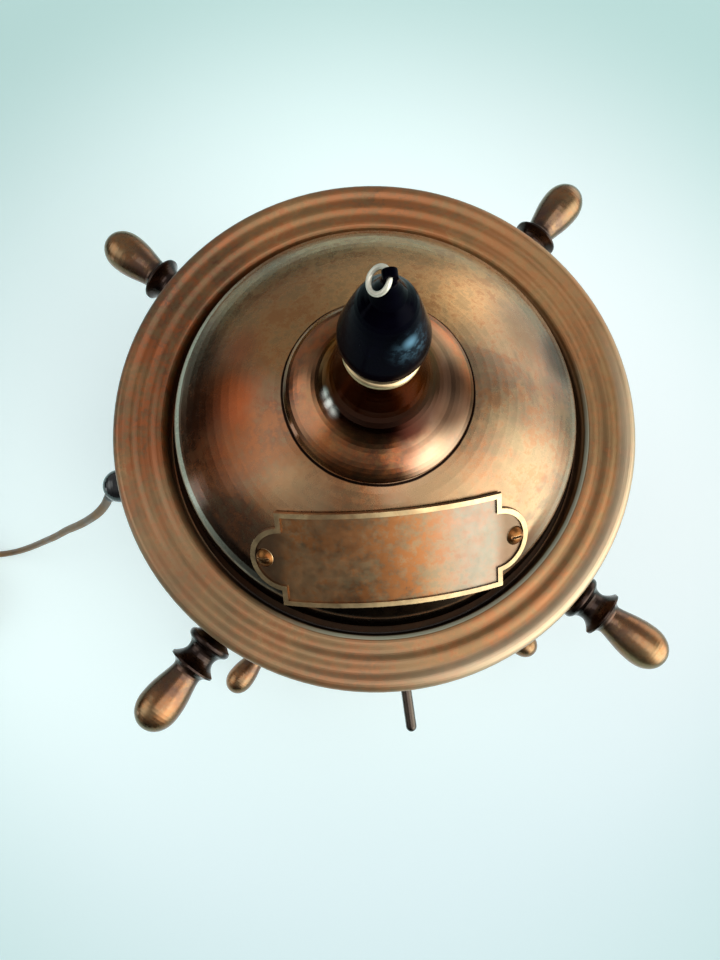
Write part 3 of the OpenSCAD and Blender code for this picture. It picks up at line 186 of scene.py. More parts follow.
def switch_end(x, z):
    return [round_to(x, SWITCH_BACK + 8, ENTRY_Z + z * 1.05), round_to(0, SWITCH_BACK + 4, ENTRY_Z + z),
            round_to(0, SWITCH_BACK + 2, ENTRY_Z + z), round_to(0, SWITCH_BACK + LEAD_GAP, ENTRY_Z + z)]


LEADS = [
    ([(-STEM_IN + LEAD_GAP, 0, ENTRY_Z), (-STEM_IN + 2, 0, ENTRY_Z), (-STEM_IN + 4, 0, ENTRY_Z),
      (-STEM_IN + 12, 0, ENTRY_Z + 2.5), (-STEM_IN + 19, 0, ENTRY_Z + 9), (BLOCK_A - 13, 0, LEAD_Z - 22),
      (BLOCK_A - 11.5, 0, LEAD_Z - 11), (BLOCK_A - 8, 0, LEAD_Z - 3), (BLOCK_A - 4, 0, LEAD_Z),
      (BLOCK_A - 2, 0, LEAD_Z), (BLOCK_A - LEAD_GAP, 0, LEAD_Z)], 2.2),
    ([(BLOCK_B + LEAD_GAP, 0, LEAD_Z), (BLOCK_B + 1.5, 0, LEAD_Z), (BLOCK_B + 3, 0, LEAD_Z),
      (BLOCK_B + 8, 0, LEAD_Z + 2.6), (HOLE_X, 0, STRAP_Z + 1.5), (HOLE_X + 0.5, 0, STRAP_Z + 8),
      (HOLE_X + 5, 0, STRAP_Z + 15), (HOLE_X + 12, 0, STRAP_Z + 18), (-4.5, 0, STRAP_Z + 16.5),
      (-0.8, 0, STRAP_Z + 12), (0, 0, STRAP_Z + 6), (0, 0, STRAP_Z - 5), (0, 0, INSERT_TOP + 9),
      (0, 0, INSERT_TOP + LEAD_GAP)], 1.4),
    ([(BLOCK_X + 5, -9 - LEAD_GAP, LEAD_Z), (BLOCK_X + 5, -11, LEAD_Z), (BLOCK_X + 5, -13, LEAD_Z),
      (BLOCK_X + 7, -22, LEAD_Z - 5), (BLOCK_X + 12, -36, LEAD_Z - 18), (BLOCK_X + 22, -48, ENTRY_Z + 12),
      (-9, SWITCH_BACK + 12.5, ENTRY_Z + 6)] + switch_end(-2, 4), 1.1),
    ([(BLOCK_X - 5, -9 - LEAD_GAP, LEAD_Z), (BLOCK_X - 5, -11, LEAD_Z), (BLOCK_X - 5, -13, LEAD_Z),
      (BLOCK_X - 4, -24, LEAD_Z - 6), (BLOCK_X + 2, -40, LEAD_Z - 22), (BLOCK_X + 14, -52, ENTRY_Z + 4),
      (-12, SWITCH_BACK + 12, ENTRY_Z - 2.5)] + switch_end(-2.5, -4), 1.1),
]
leads = []
for i, (points, radius) in enumerate(LEADS):
    lead = tube(f"inner_lead_{i + 1}", through(points, 4), radius)
    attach(lead, "lamp")
    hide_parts("inner_leads")
    leads.append(lead)


# Materials
class Look:
    """A node material under construction."""

    def __init__(self, name):
        self.material = bpy.data.materials.new(name)
        self.material.use_nodes = True
        self.tree = self.material.node_tree
        self.tree.nodes.clear()
        self.shader = self.add("ShaderNodeBsdfPrincipled")
        out = self.add("ShaderNodeOutputMaterial")
        self.tree.links.new(self.shader.outputs["BSDF"], out.inputs["Surface"])
        self.place = self.add("ShaderNodeTexCoord").outputs["Object"]

    def add(self, kind, **values):
        node = self.tree.nodes.new(kind)
        for key, value in values.items():
            setattr(node, key, value)
        return node

    def join(self, socket, value):
        if isinstance(value, bpy.types.NodeSocket):
            self.tree.links.new(value, socket)
        elif isinstance(value, tuple) and len(value) == 3 and socket.type == "RGBA":
            socket.default_value = (*value, 1.0)
        else:
            socket.default_value = value

    def put(self, node, *values, **named):
        for i, value in enumerate(values):
            self.join(node.inputs[i], value)
        for key, value in named.items():
            self.join(node.inputs[key.replace("_", " ")], value)
        return node

    def set(self, **named):
        self.put(self.shader, **named)

    def math(self, operation, a, b=0.0):
        return self.put(self.add("ShaderNodeMath", operation=operation), a, b).outputs[0]

    def times(self, a, b):
        return self.math("MULTIPLY", a, b)

    def plus(self, a, b):
        return self.math("ADD", a, b)

    def vector(self, operation, a, b):
        return self.put(self.add("ShaderNodeVectorMath", operation=operation), a, b)

    def noise(self, scale, detail=4.0, rough=0.55, at=None, distort=0.0):
        node = self.add("ShaderNodeTexNoise")
        self.put(node, Vector=at or self.place, Scale=scale, Detail=detail, Roughness=rough, Distortion=distort)
        return node.outputs["Fac"]

    def ramp(self, fac, stops):
        node = self.put(self.add("ShaderNodeValToRGB"), fac)
        ramp = node.color_ramp
        while len(ramp.elements) < len(stops):
            ramp.elements.new(0.5)
        for element, (at, colour) in zip(ramp.elements, stops):
            element.position = at
            element.color = (*colour, 1.0)
        return node.outputs["Color"]

    def level(self, fac, low, high, to_low=0.0, to_high=1.0):
        node = self.add("ShaderNodeMapRange", interpolation_type="SMOOTHSTEP")
        return self.put(node, fac, low, high, to_low, to_high).outputs["Result"]

    def mix(self, fac, a, b):
        node = self.add("ShaderNodeMix", data_type="RGBA")
        self.join(node.inputs["Factor"], fac)
        self.join(node.inputs[6], a)
        self.join(node.inputs[7], b)
        return node.outputs[2]

    def near(self, centre, inner, outer, wobble=0.0):
        """White within a distance of a place in millimetres, with a cloudy edge."""
        away = self.vector("DISTANCE", self.place, tuple(c * MM for c in centre)).outputs["Value"]
        if wobble:
            away = self.plus(away, self.times(self.plus(self.noise(28.0, 4.0), -0.5), wobble * MM))
        return self.level(away, inner * MM, outer * MM, 1.0, 0.0)

    def axis_radius(self):
        """Distance from the lamp's axis."""
        flat = self.vector("MULTIPLY", self.place, (1, 1, 0)).outputs[0]
        return self.put(self.add("ShaderNodeVectorMath", operation="LENGTH"), flat).outputs["Value"]

    def height(self):
        return self.put(self.add("ShaderNodeSeparateXYZ"), self.place).outputs["Z"]

    def turning(self, scale):
        """Fine lines round what was turned or spun about the lamp's axis."""
        line = self.put(self.add("ShaderNodeCombineXYZ"), self.axis_radius(), self.height(), 0.0)
        return self.noise(scale, 3.0, 0.6, at=line.outputs[0])

    def worn_edges(self, radius, low=0.02, high=0.12):
        """White where the surface turns sharply outward within the radius."""
        soft = self.put(self.add("ShaderNodeBevel", samples=6), Radius=radius)
        plain = self.add("ShaderNodeNewGeometry")
        dot = self.vector("DOT_PRODUCT", soft.outputs[0], plain.outputs["Normal"])
        return self.level(self.math("SUBTRACT", 1.0, dot.outputs["Value"]), low, high)

    def hollows(self, distance, low=0.35, high=0.9):
        """White in grooves and corners."""
        node = self.put(self.add("ShaderNodeAmbientOcclusion", samples=8, only_local=False), Distance=distance)
        return self.level(node.outputs["AO"], low, high, 1.0, 0.0)

    def bump(self, height, strength, distance, after=None):
        node = self.put(self.add("ShaderNodeBump"), Height=height, Strength=strength, Distance=distance)
        if after is not None:
            self.put(node, Normal=after)
        return node.outputs["Normal"]

    def coat(self, weight, rough):
        self.shader.inputs["Coat Weight"].default_value = weight
        self.shader.inputs["Coat Roughness"].default_value = rough


def mottled(look, colour, mid, depth):
    """Broken patches of rust red and green over a colour."""
    patch = look.plus(look.times(look.noise(64.0, 5.0, 0.7), 0.55), look.times(look.noise(310.0, 4.0, 0.7), 0.45))
    rust = (mid[0] * 1.05, mid[1] * 0.66, mid[2] * 0.36)
    verdigris = (mid[0] * 0.56, mid[1] * 0.90, mid[2] * 1.1)
    colour = look.mix(look.level(patch, 0.49, 0.57, 0.0, depth), colour, rust)
    return look.mix(look.level(patch, 0.50, 0.43, 0.0, depth * 0.7), colour, verdigris)


def patina(name, dark, mid, light, wear_and_shade, rough=(0.3, 0.5), grime=0.8, lines=0.3, edge=1.2, coat=0.0,
           coat_rough=0.12, metal=1.0, dark_patches=(), mottle=0.0):
    """Aged brass: cloudy patina, faint turning lines, rubbed edges, dark hollows and dark patches at given places.
    """
    look = Look(name)
    clouds = look.noise(22.0, 6.0, 0.62, distort=0.4)
    specks = look.noise(230.0, 5.0, 0.65)
    grain = look.noise(900.0, 3.0, 0.6)
    turned = look.turning(520.0)
    tone = look.plus(look.times(clouds, 0.66), look.times(specks, 0.26))
    tone = look.plus(tone, look.times(turned, 0.04 + 0.3 * lines))
    colour = look.ramp(tone, [(0.34, dark), (0.54, mid), (0.74, light)])
    if mottle:
        colour = mottled(look, colour, mid, mottle)
    black = tuple(c * 0.12 for c in dark)
    dull = 0.0
    for centre, inner, outer, depth in dark_patches:
        dark_patch = look.times(look.near(centre, inner, outer, wobble=(outer - inner) * 1.4), depth)
        colour = look.mix(dark_patch, colour, black)
        dull = look.math("MAXIMUM", dull, dark_patch)
    if grime:
        colour = look.mix(look.times(look.hollows(0.007), grime), colour, black)
    if edge:
        wear = look.times(look.worn_edges(edge * MM), look.level(specks, 0.36, 0.6, 0.35, 1.0))
        colour = look.mix(wear, colour, wear_and_shade)
    rub_and_highlight = look.plus(look.times(clouds, 0.5), look.times(specks, 0.5))
    look.set(Base_Color=colour, Roughness=look.level(rub_and_highlight, 0.35, 0.65, rough[0], rough[1]))
    look.shader.inputs["Metallic"].default_value = metal
    relief = look.bump(turned, 0.1 * lines, 0.0003) if lines else None
    look.set(Normal=look.bump(grain, 0.06, 0.0002, after=relief))
    look.coat(coat, coat_rough)
    look.colour, look.specks, look.dull = colour, specks, dull
    return look


def band(look, low, high, soft=0.6, wobble=0.0):
    """White between two distances from the lamp's axis, in millimetres."""
    radius = look.axis_radius()
    if wobble:
        radius = look.plus(radius, look.times(look.plus(look.noise(60.0, 3.0), -0.5), wobble * MM))
    return look.times(look.level(radius, (low - soft) * MM, low * MM),
                      look.level(radius, high * MM, (high + soft) * MM, 1.0, 0.0))


def sector(look, azimuth, wide):
    """White towards one side of the lamp, fading out at an angle from it."""
    a = math.radians(azimuth)
    flat = look.vector("MULTIPLY", look.place, (1, 1, 0)).outputs[0]
    way = look.put(look.add("ShaderNodeVectorMath", operation="NORMALIZE"), flat).outputs[0]
    dot = look.vector("DOT_PRODUCT", way, (math.cos(a), math.sin(a), 0)).outputs["Value"]
    return look.level(dot, math.cos(math.radians(wide)), math.cos(math.radians(wide * 0.5)))


def dome_patina():
    """The dome: glossy, with a painted highlight on the shoulder, painted shade on its side and under the plate, and
    a painted shadow round the boss's foot.
    """
    # The dark patches given here are partly stains and partly painted dark reflections.
    look = patina("dome_brass", *DOME, RUBBED, rough=(0.22, 0.34), lines=0.1, grime=0.0, edge=0.0,
                  coat_rough=0.16, dark_patches=[((-72, 32, 354), 6, 24, 0.95), ((-68, 4, 360), 2, 18, 0.8),
                                           ((80, 14, 352), 3, 15, 0.9), ((-66, -38, 354), 5, 22, 0.7),
                                           ((-36, 74, 356), 2, 20, 0.5)])
    # Painted shade, mixed to black: a painted shadow line round the boss's foot, a painted shadow under the
    # nameplate at the front, and painted shade on the side below the shoulder.
    foot = band(look, 36.6, 37.3, 0.4, 0.8)
    front = look.times(look.times(band(look, 80.5, 84.2, 2.0, 2.0), sector(look, 264, 75)), 0.92)
    side = look.level(look.height(), 0.3440, 0.3452, 0.96, 0.0)
    dirt_and_shade = look.math("MAXIMUM", look.math("MAXIMUM", foot, front), side)
    # Left patch: partly red patina, partly painted dark reflection.
    red = look.near((-67, 2, 362), 14.0, 37.0, 16.0)
    # Painted shade: two patches that darken reflections, between the boss and the plate and on the right.
    wear_and_shade = look.math("MAXIMUM", look.near((15, -44, 375), 7.0, 28.0, 8.0), look.near((64, 26, 362), 4.0, 22.0, 8.0))
    dull = look.math("MAXIMUM", look.times(red, 0.75), look.times(wear_and_shade, 0.4))
    dull = look.math("MAXIMUM", look.times(look.dull, 0.7), dull)
    # Painted light: the far side gets a thinner coat and a lighter colour below.
    rear = sector(look, 95, 85)
    dull = look.math("MAXIMUM", look.times(rear, 0.5), dull)
    gloss = look.math("SUBTRACT", 0.9, look.math("MAXIMUM", look.times(dirt_and_shade, 0.9), dull))
    cloud = look.noise(13.0, 3.0, 0.6, distort=0.6)
    blot = look.noise(34.0, 4.0, 0.65, distort=0.8)
    colour = look.mix(look.level(cloud, 0.5, 0.61, 0.0, 0.6), look.colour, (0.24, 0.082, 0.022))
    colour = look.mix(look.level(cloud, 0.5, 0.38, 0.0, 0.35), colour, (0.42, 0.30, 0.15))
    colour = look.mix(look.level(blot, 0.52, 0.64, 0.0, 0.7), colour, (0.10, 0.030, 0.010))
    # Painted light and shade by side: the far side lighter orange, the left darker, the front below the boss lighter
    # and the front right paler.
    colour = look.mix(look.times(rear, 0.75), colour, (0.84, 0.46, 0.18))
    colour = look.mix(look.times(sector(look, 165, 75), 0.5), colour, (0.19, 0.070, 0.020))
    below = look.times(band(look, 38.0, 62.0, 4.0, 4.0), sector(look, 258, 60))
    colour = look.mix(look.times(below, 0.45), colour, (0.56, 0.25, 0.095))
    colour = look.mix(look.times(sector(look, 330, 85), 0.25), colour, (0.43, 0.32, 0.19))
    colour = mottled(look, colour, (0.32, 0.16, 0.06), 0.45)
    # The left patch, partly red patina and partly painted dark reflection, with a brighter red core.
    colour = look.mix(look.times(red, 0.65), colour, (0.15, 0.030, 0.009))
    # Painted highlight: a pale patch at the front left.
    colour = look.mix(look.times(look.near((-34, -38, 373), 5.0, 20.0, 8.0), 0.45), colour, (0.80, 0.50, 0.26))
    glow = look.math("MAXIMUM", look.near((-57, 8, 369), 3.0, 17.0, 10.0), look.near((-51, 28, 369), 2.0, 14.0, 8.0))
    colour = look.mix(look.times(glow, 0.5), colour, (0.36, 0.070, 0.014))
    # The two patches of painted shade over reflections.
    colour = look.mix(look.times(wear_and_shade, 0.8), colour, (0.18, 0.110, 0.052))
    colour = look.mix(look.times(look.dull, 0.6), colour, (0.03, 0.009, 0.004))
    # Painted highlight: a pale line along the shoulder, strongest on the left, with less metal.
    rub_and_highlight = look.plus(0.15, look.times(sector(look, 190, 80), 0.75))
    rub_and_highlight = look.times(rub_and_highlight, look.math("SUBTRACT", 1.0, sector(look, 275, 50)))
    painted_highlight = look.times(band(look, 82.9, 85.3, 0.4, 0.4), rub_and_highlight)
    colour = look.mix(painted_highlight, colour, HIGHLIGHT_GREY)
    look.set(Base_Color=look.mix(dirt_and_shade, colour, SHADOW_BLACK), Coat_Weight=gloss,
             Metallic=look.math("SUBTRACT", 1.0, look.times(painted_highlight, 0.8)))
    return look.material


def ring_patina():
    """The ring mouldings: duller, with a painted highlight along the outer bead towards the front right, sides and
    inner wall painted lighter, a painted highlight on the inner edge and painted shade in the gap at the front.
    """
    look = patina("ring_brass", *RING, RUBBED, rough=(0.36, 0.5), lines=0.1, grime=0.0, edge=0.0, coat=0.45,
                  coat_rough=0.3, metal=0.75, mottle=0.85, dark_patches=[((-96, -60, 336), 6, 20, 0.25)])
    # Painted highlight along the outer bead, towards the front right.
    rub_and_highlight = look.plus(0.03, look.times(sector(look, 322, 60), 0.45))
    colour = look.mix(look.times(band(look, 109.5, 114.0, 3.5, 1.5), rub_and_highlight), look.colour, HIGHLIGHT_CREAM)
    # Painted light: the front right, the front left and the back right painted lighter.
    colour = look.mix(look.times(sector(look, 345, 90), 0.3), colour, (0.46, 0.27, 0.11))
    colour = look.mix(look.times(sector(look, 232, 55), 0.28), colour, (0.54, 0.37, 0.20))
    colour = look.mix(look.times(sector(look, 65, 75), 0.16), colour, (0.66, 0.36, 0.14))
    # Painted highlight: a pale line on the inner edge towards the front right.
    lip = look.times(band(look, 92.3, 93.4, 0.4, 0.3), look.times(sector(look, 300, 75), 0.7))
    # Painted light: the inner wall painted lighter towards the right, with less metal.
    wall = look.times(look.level(look.axis_radius(), 91.9 * MM, 91.3 * MM), sector(look, 24, 68))
    colour = look.mix(look.times(wall, look.level(look.specks, 0.35, 0.6, 0.6, 1.0)), colour, (0.40, 0.20, 0.09))
    # Painted shade: the gap at the front is painted black.
    gap = look.times(look.level(look.axis_radius(), 92.2 * MM, 91.7 * MM), sector(look, 262, 62))
    colour = look.mix(look.times(gap, 0.95), colour, SHADOW_BLACK)
    dull = look.math("MAXIMUM", lip, wall)
    look.set(Base_Color=look.mix(lip, colour, HIGHLIGHT_GREY), Metallic=look.level(dull, 0.0, 1.0, 0.75, 0.15))
    return look.material


def boss_patina():
    """The boss: a painted highlight on the foot, a dark red waist painted as a dark reflection, painted shade and a
    painted reflection on its sides, and a painted highlight streak on the left of the neck.
    """
    look = patina("boss_brass", *BOSS, RUBBED, rough=(0.16, 0.26), lines=0.0, edge=0.8, grime=0.0, coat_rough=0.1,
                  mottle=0.5)
    height = look.height()
    # Painted dark reflection: the waist is painted nearly black, darker towards the front.
    place = look.plus(height, look.times(look.plus(look.noise(80.0, 3.0), -0.5), 0.005))
    place = look.plus(place, look.times(sector(look, 228, 60), -0.0045))
    waist = look.level(place, 0.3838, 0.3918)
    front = look.plus(0.6, look.times(sector(look, 262, 115), 0.38))
    # Painted reflection: the upper right side is painted olive grey.
    olive = look.times(sector(look, 15, 50), look.level(height, 0.384, 0.388, 0.0, 0.65))
    colour = look.mix(olive, look.colour, (0.20, 0.185, 0.11))
    colour = look.mix(look.times(waist, front), colour, (0.030, 0.005, 0.003))
    # Painted highlight: the foot towards the front right is painted pale.
    foot_highlight = look.times(sector(look, 314, 40), look.math("SUBTRACT", 0.5, look.times(waist, 0.5)))
    colour = look.mix(foot_highlight, colour, (0.44, 0.36, 0.26))
    # Painted shade on the right side of the boss, with a thinner coat there.
    shade = look.near((25, -7, 388.5), 8.0, 24.0, 7.0)
    colour = look.mix(look.times(shade, 0.92), colour, (0.045, 0.022, 0.014))
    # Painted light and shade: a lighter patch and a darker patch low on the left.
    colour = look.mix(look.times(look.near((-25, 8, 389), 3.0, 12.0, 4.0), 0.3), colour, (0.55, 0.29, 0.15))
    colour = look.mix(look.times(look.near((-31, -10, 385), 4.0, 14.0, 5.0), 0.65), colour, (0.22, 0.090, 0.035))
    # Painted highlight: a pale streak on the left, with less metal.
    highlight_streak = look.math("MAXIMUM", look.near((-20.6, -3.6, 394.3), 0.0, 4.2, 1.2),
                       look.near((-19.6, -7.0, 394.1), 0.0, 4.4, 1.2))
    highlight_streak = look.math("MAXIMUM", highlight_streak, look.near((-18.2, -10.2, 393.9), 0.0, 4.2, 1.2))
    highlight_streak = look.math("POWER", highlight_streak, 1.6)
    colour = look.mix(highlight_streak, colour, (0.92, 0.90, 0.84))
    look.set(Base_Color=colour, Coat_Weight=look.math("SUBTRACT", 0.9, look.math("MAXIMUM", look.times(waist, 0.82),
                                                                                look.times(shade, 0.86))))
    look.set(Metallic=look.math("SUBTRACT", 1.0, look.times(highlight_streak, 0.6)))
    look.shader.inputs["Specular Tint"].default_value = (0.75, 0.55, 0.45, 1.0)
    return look.material


def plate_patina():
    """The nameplate: a mottled face, dark ears and a rubbed border."""
    look = patina("plate_metal", *PLATE, rough=(0.34, 0.5), lines=0.0, edge=0.0, coat=0.3, coat_rough=0.3, grime=0.5,
                  mottle=0.75)
    turn = Matrix.Rotation(math.radians(PLATE_TURN), 3, "Z") @ Matrix.Rotation(math.radians(PLATE_TILT), 3, "X")
    from_axis = look.vector("SUBTRACT", look.place, (0, 0, DOME_CENTRE * MM)).outputs[0]
    along = look.vector("DOT_PRODUCT", from_axis, tuple(turn @ Vector((1, 0, 0)))).outputs["Value"]
    out = look.vector("DOT_PRODUCT", from_axis, tuple(turn @ Vector((0, 0, 1)))).outputs["Value"]
    bend = look.math("SQRT", look.plus(look.times(along, along), look.times(out, out)))
    border = look.level(bend, (PLATE_FACE_R + 0.5) * MM, (PLATE_FACE_R + 0.7) * MM)
    cloud = look.noise(55.0, 5.0, 0.7, distort=0.5)
    left = look.times(look.level(along, 0.006, -0.030), look.level(cloud, 0.40, 0.56, 0.25, 0.85))
    colour = look.mix(look.times(left, 0.75), look.colour, (0.38, 0.195, 0.090))
    # Painted highlight tint: the right end is painted neutral grey so its highlight reads pale.
    colour = look.mix(look.level(along, 0.008, 0.032, 0.0, 0.6), colour, (0.195, 0.20, 0.185))
    ears = look.level(look.math("ABSOLUTE", along), 0.0395, 0.0465, 0.0, 0.85)
    colour = look.mix(ears, colour, (0.15, 0.085, 0.045))
    look.set(Base_Color=look.mix(look.times(border, look.level(cloud, 0.35, 0.6, 0.95, 0.4)), colour, PLATE[3]))
    return look.material


def handle_patina():
    """Turned handles: bronze grips rubbed by hands, and painted shade, nearly black, towards the wheel."""
    look = patina("handle_brass", *BRONZE, rough=(0.22, 0.36), lines=0.0, edge=0.5, coat=0.4, coat_rough=0.15,
                  mottle=0.4)
    radius = look.plus(look.axis_radius(), look.times(look.plus(look.noise(70.0, 4.0), -0.5), 0.01))
    # Painted shade: nearly black at the wheel, fading out along the neck, mottled.
    inner = look.level(radius, 0.1335, 0.1395, 1.0, 0.0)
    wheel_shade = look.times(look.level(radius, 0.139, 0.160, 1.0, 0.0), look.level(look.specks, 0.35, 0.6, 0.3, 0.8))
    colour = look.mix(wheel_shade, look.colour, (0.075, 0.040, 0.038))
    look.set(Base_Color=look.mix(look.times(inner, 0.92), colour, (0.016, 0.006, 0.004)))
    return look.material


def plastic(name, colour, rough, speck=0.15, coat=0.0, grain=1400.0, relief=0.06):
    look = Look(name)
    cloud = look.noise(60.0, 4.0)
    fine = look.noise(grain, 3.0)
    tint = look.plus(look.times(cloud, 0.5), look.times(fine, 0.5))
    low = tuple(c * (1 - speck) for c in colour)
    high = tuple(min(1.0, c * (1 + speck) + 0.002) for c in colour)
    look.set(Base_Color=look.ramp(tint, [(0.38, low), (0.62, high)]),
             Roughness=look.level(cloud, 0.35, 0.65, rough * 0.85, min(1.0, rough * 1.2)),
             Normal=look.bump(fine, relief, 0.0002))
    look.coat(coat, 0.08)
    return look.material


def black_wood():
    """Ebonised wood under old polish, with a painted bluish highlight."""
    look = Look("black_wood")
    cloud = look.noise(40.0, 5.0)
    tint = look.ramp(cloud, [(0.4, (0.0004, 0.0002, 0.0009)), (0.66, (0.0016, 0.0012, 0.0045))])
    fleck = look.level(look.noise(330.0, 4.0, 0.7), 0.42, 0.62, 0.15, 1.0)
    # Painted highlight: a bluish, flecked patch on the lower right, with a brighter spot.
    painted_highlight = look.times(look.times(look.near((7.4, -9.8, 450.0), 0.0, 10.0, 6.0), 0.45), fleck)
    painted_highlight = look.math("MAXIMUM", painted_highlight, look.near((6.0, -9.7, 453.4), 0.0, 4.0, 2.0))
    look.set(Base_Color=look.mix(look.times(painted_highlight, 0.95), tint, (0.11, 0.23, 0.33)),
             Roughness=look.level(cloud, 0.35, 0.7, 0.12, 0.24),
             Normal=look.bump(look.noise(180.0, 3.0), 0.08, 0.0006), Specular_Tint=(0.45, 0.6, 1.0))
    look.shader.inputs["Specular IOR Level"].default_value = 0.012
    return look.material


def clear(name, colour, rough=0.03):
    look = Look(name)
    tall = look.vector("MULTIPLY", look.place, (1, 1, 0.25)).outputs[0]
    look.set(Base_Color=colour, Normal=look.bump(look.noise(18.0, 3.0, at=tall), 0.08, 0.001),
             Roughness=look.level(look.noise(70.0, 4.0), 0.45, 0.75, rough, rough + 0.07))
    look.shader.inputs["Transmission Weight"].default_value = 1.0
    look.shader.inputs["IOR"].default_value = 1.46
    return look.material


def felt(name, colour):
    look = Look(name)
    fibre = look.noise(700.0, 6.0, 0.75, distort=1.5)
    tint = look.plus(look.times(fibre, 0.7), look.times(look.noise(90.0, 4.0), 0.3))
    low, high = tuple(c * 0.6 for c in colour), tuple(c * 1.5 for c in colour)
    look.set(Base_Color=look.ramp(tint, [(0.35, low), (0.65, high)]), Normal=look.bump(fibre, 0.5, 0.0006))
    look.shader.inputs["Roughness"].default_value = 0.95
    look.shader.inputs["Sheen Weight"].default_value = 0.5
    return look.material


def cord_look(name, colour):
    """A plastic sheath with faint dirt along it."""
    look = Look(name)
    dirt_and_shade = look.noise(45.0, 5.0, 0.7)
    low, high = tuple(c * 0.6 for c in colour), tuple(c * 1.45 for c in colour)
    look.set(Base_Color=look.ramp(dirt_and_shade, [(0.35, low), (0.55, colour), (0.72, high)]),
             Roughness=look.level(dirt_and_shade, 0.35, 0.65, 0.38, 0.6),
             Normal=look.bump(look.noise(1100.0, 3.0), 0.08, 0.0002))
    return look.material


# The nameplate's place, in millimetres and degrees as in the part's source.
DOME_CENTRE = 347.4 - math.sqrt(112.0 ** 2 - 84.4 ** 2)
PLATE_TURN, PLATE_TILT = -1.8, 31.0
PLATE_FACE_R = 113.3

# Dark, middle and light tones of each metal, then its rubbed tone.
BROWN = ((0.10, 0.040, 0.015), (0.30, 0.132, 0.050), (0.46, 0.25, 0.11))
DOME = ((0.08, 0.022, 0.008), (0.28, 0.118, 0.040), (0.47, 0.30, 0.15))
BOSS = ((0.12, 0.030, 0.008), (0.47, 0.172, 0.044), (0.60, 0.34, 0.13))
RING = ((0.09, 0.026, 0.008), (0.29, 0.112, 0.033), (0.45, 0.25, 0.10))
PLATE = ((0.17, 0.085, 0.040), (0.43, 0.235, 0.110), (0.60, 0.40, 0.21), (0.74, 0.54, 0.29))
RUBBED = (0.72, 0.52, 0.30)
# Colours of painted highlights and of painted shade.
HIGHLIGHT_CREAM = (0.88, 0.76, 0.56)
SHADOW_BLACK = (0.006, 0.003, 0.002)
HIGHLIGHT_GREY = (0.52, 0.58, 0.46)
BRONZE = ((0.11, 0.050, 0.022), (0.36, 0.190, 0.082), (0.60, 0.40, 0.20), (0.78, 0.60, 0.34))
CREAMY = ((0.55, 0.36, 0.17), (0.84, 0.66, 0.40), (0.92, 0.78, 0.54), (0.95, 0.85, 0.66))
GOLD = ((0.30, 0.16, 0.05), (0.62, 0.38, 0.13), (0.82, 0.56, 0.22), (0.9, 0.68, 0.34))
SILVER = ((0.50, 0.49, 0.46), (0.74, 0.73, 0.70), (0.86, 0.85, 0.82), (0.92, 0.91, 0.9))
PALE = ((0.70, 0.66, 0.55), (0.84, 0.80, 0.68), (0.90, 0.87, 0.76), (0.94, 0.92, 0.84))
ZINC = ((0.35, 0.35, 0.35), (0.55, 0.55, 0.56), (0.7, 0.7, 0.7), (0.8, 0.8, 0.8))

LOOKS = {
    "aged_brass": patina("aged_brass", *BROWN, RUBBED, rough=(0.30, 0.46), coat=0.15, mottle=0.35).material,
    "turned_brass": patina("turned_brass", *BRONZE, rough=(0.22, 0.4), edge=0.8).material,
    "bright_brass": patina("bright_brass", *GOLD, rough=(0.16, 0.3), grime=0.5, edge=0.4).material,
    "plate_brass": plate_patina(),
    "nickel": patina("nickel", *SILVER, rough=(0.16, 0.32), grime=0.35, lines=0.0, edge=0.3).material,
    "black_wood": black_wood(),
    "iron": plastic("iron", (0.03, 0.03, 0.031), 0.55, grain=420.0, relief=0.35),
    "steel": patina("steel", *ZINC, rough=(0.25, 0.4), grime=0.4, lines=0.1, edge=0.4).material,
    "felt": felt("felt", (0.03, 0.11, 0.06)),
    "gasket": plastic("gasket", (0.02, 0.02, 0.02), 0.75),
    "clear_glass": clear("clear_glass", (0.93, 0.97, 0.96)),
    "opal_glass": plastic("opal_glass", (0.88, 0.87, 0.82), 0.2, speck=0.03, coat=0.4),
    "black_plastic": plastic("black_plastic", (0.010, 0.010, 0.012), 0.16, coat=0.5, relief=0.02),
    "matt_plastic": plastic("matt_plastic", (0.022, 0.021, 0.021), 0.42),
    "pale_plastic": plastic("pale_plastic", (0.72, 0.68, 0.56), 0.4, speck=0.06),
    "porcelain": plastic("porcelain", (0.84, 0.82, 0.76), 0.14, speck=0.04, coat=0.6, relief=0.02),
    "cap_metal": patina("cap_metal", *SILVER, rough=(0.22, 0.36), grime=0.4, lines=0.2, edge=0.4).material,
    "cord": cord_look("cord", (0.21, 0.118, 0.048)),
    "lead": plastic("lead", (0.5, 0.47, 0.4), 0.5),
}

# Pieces whose look differs from the rest of their slot.
RING_LOOK = ring_patina()
SPECIAL = {
    "cover_dome": dome_patina(),
    "cover_boss": boss_patina(),
    "neck_ring": patina("neck_brass", *CREAMY, rough=(0.3, 0.42), lines=0.0, edge=0.3, grime=0.4).material,
    "upper_ring": RING_LOOK,
    "lower_ring": RING_LOOK,
    "hanging_ring": patina("pale_wire", *PALE, rough=(0.3, 0.42), grime=0.2, lines=0.0, edge=0.0, metal=0.4,
                           coat=0.5).material,
    "nameplate_screws": patina("old_screws", *RING, RUBBED, rough=(0.25, 0.4), lines=0.0, edge=0.4,
                               mottle=0.4).material,
    "switch_lever": patina("lever_brass", (0.03, 0.018, 0.012), (0.07, 0.045, 0.03), (0.12, 0.085, 0.06), RUBBED,
                           rough=(0.22, 0.36), lines=0.0, edge=0.3, coat=0.8).material,
}
HANDLE_LOOK = handle_patina()


def dress(piece, look):
    if not piece.material_slots:
        piece.data.materials.append(look)
    for slot in piece.material_slots:
        slot.material = look


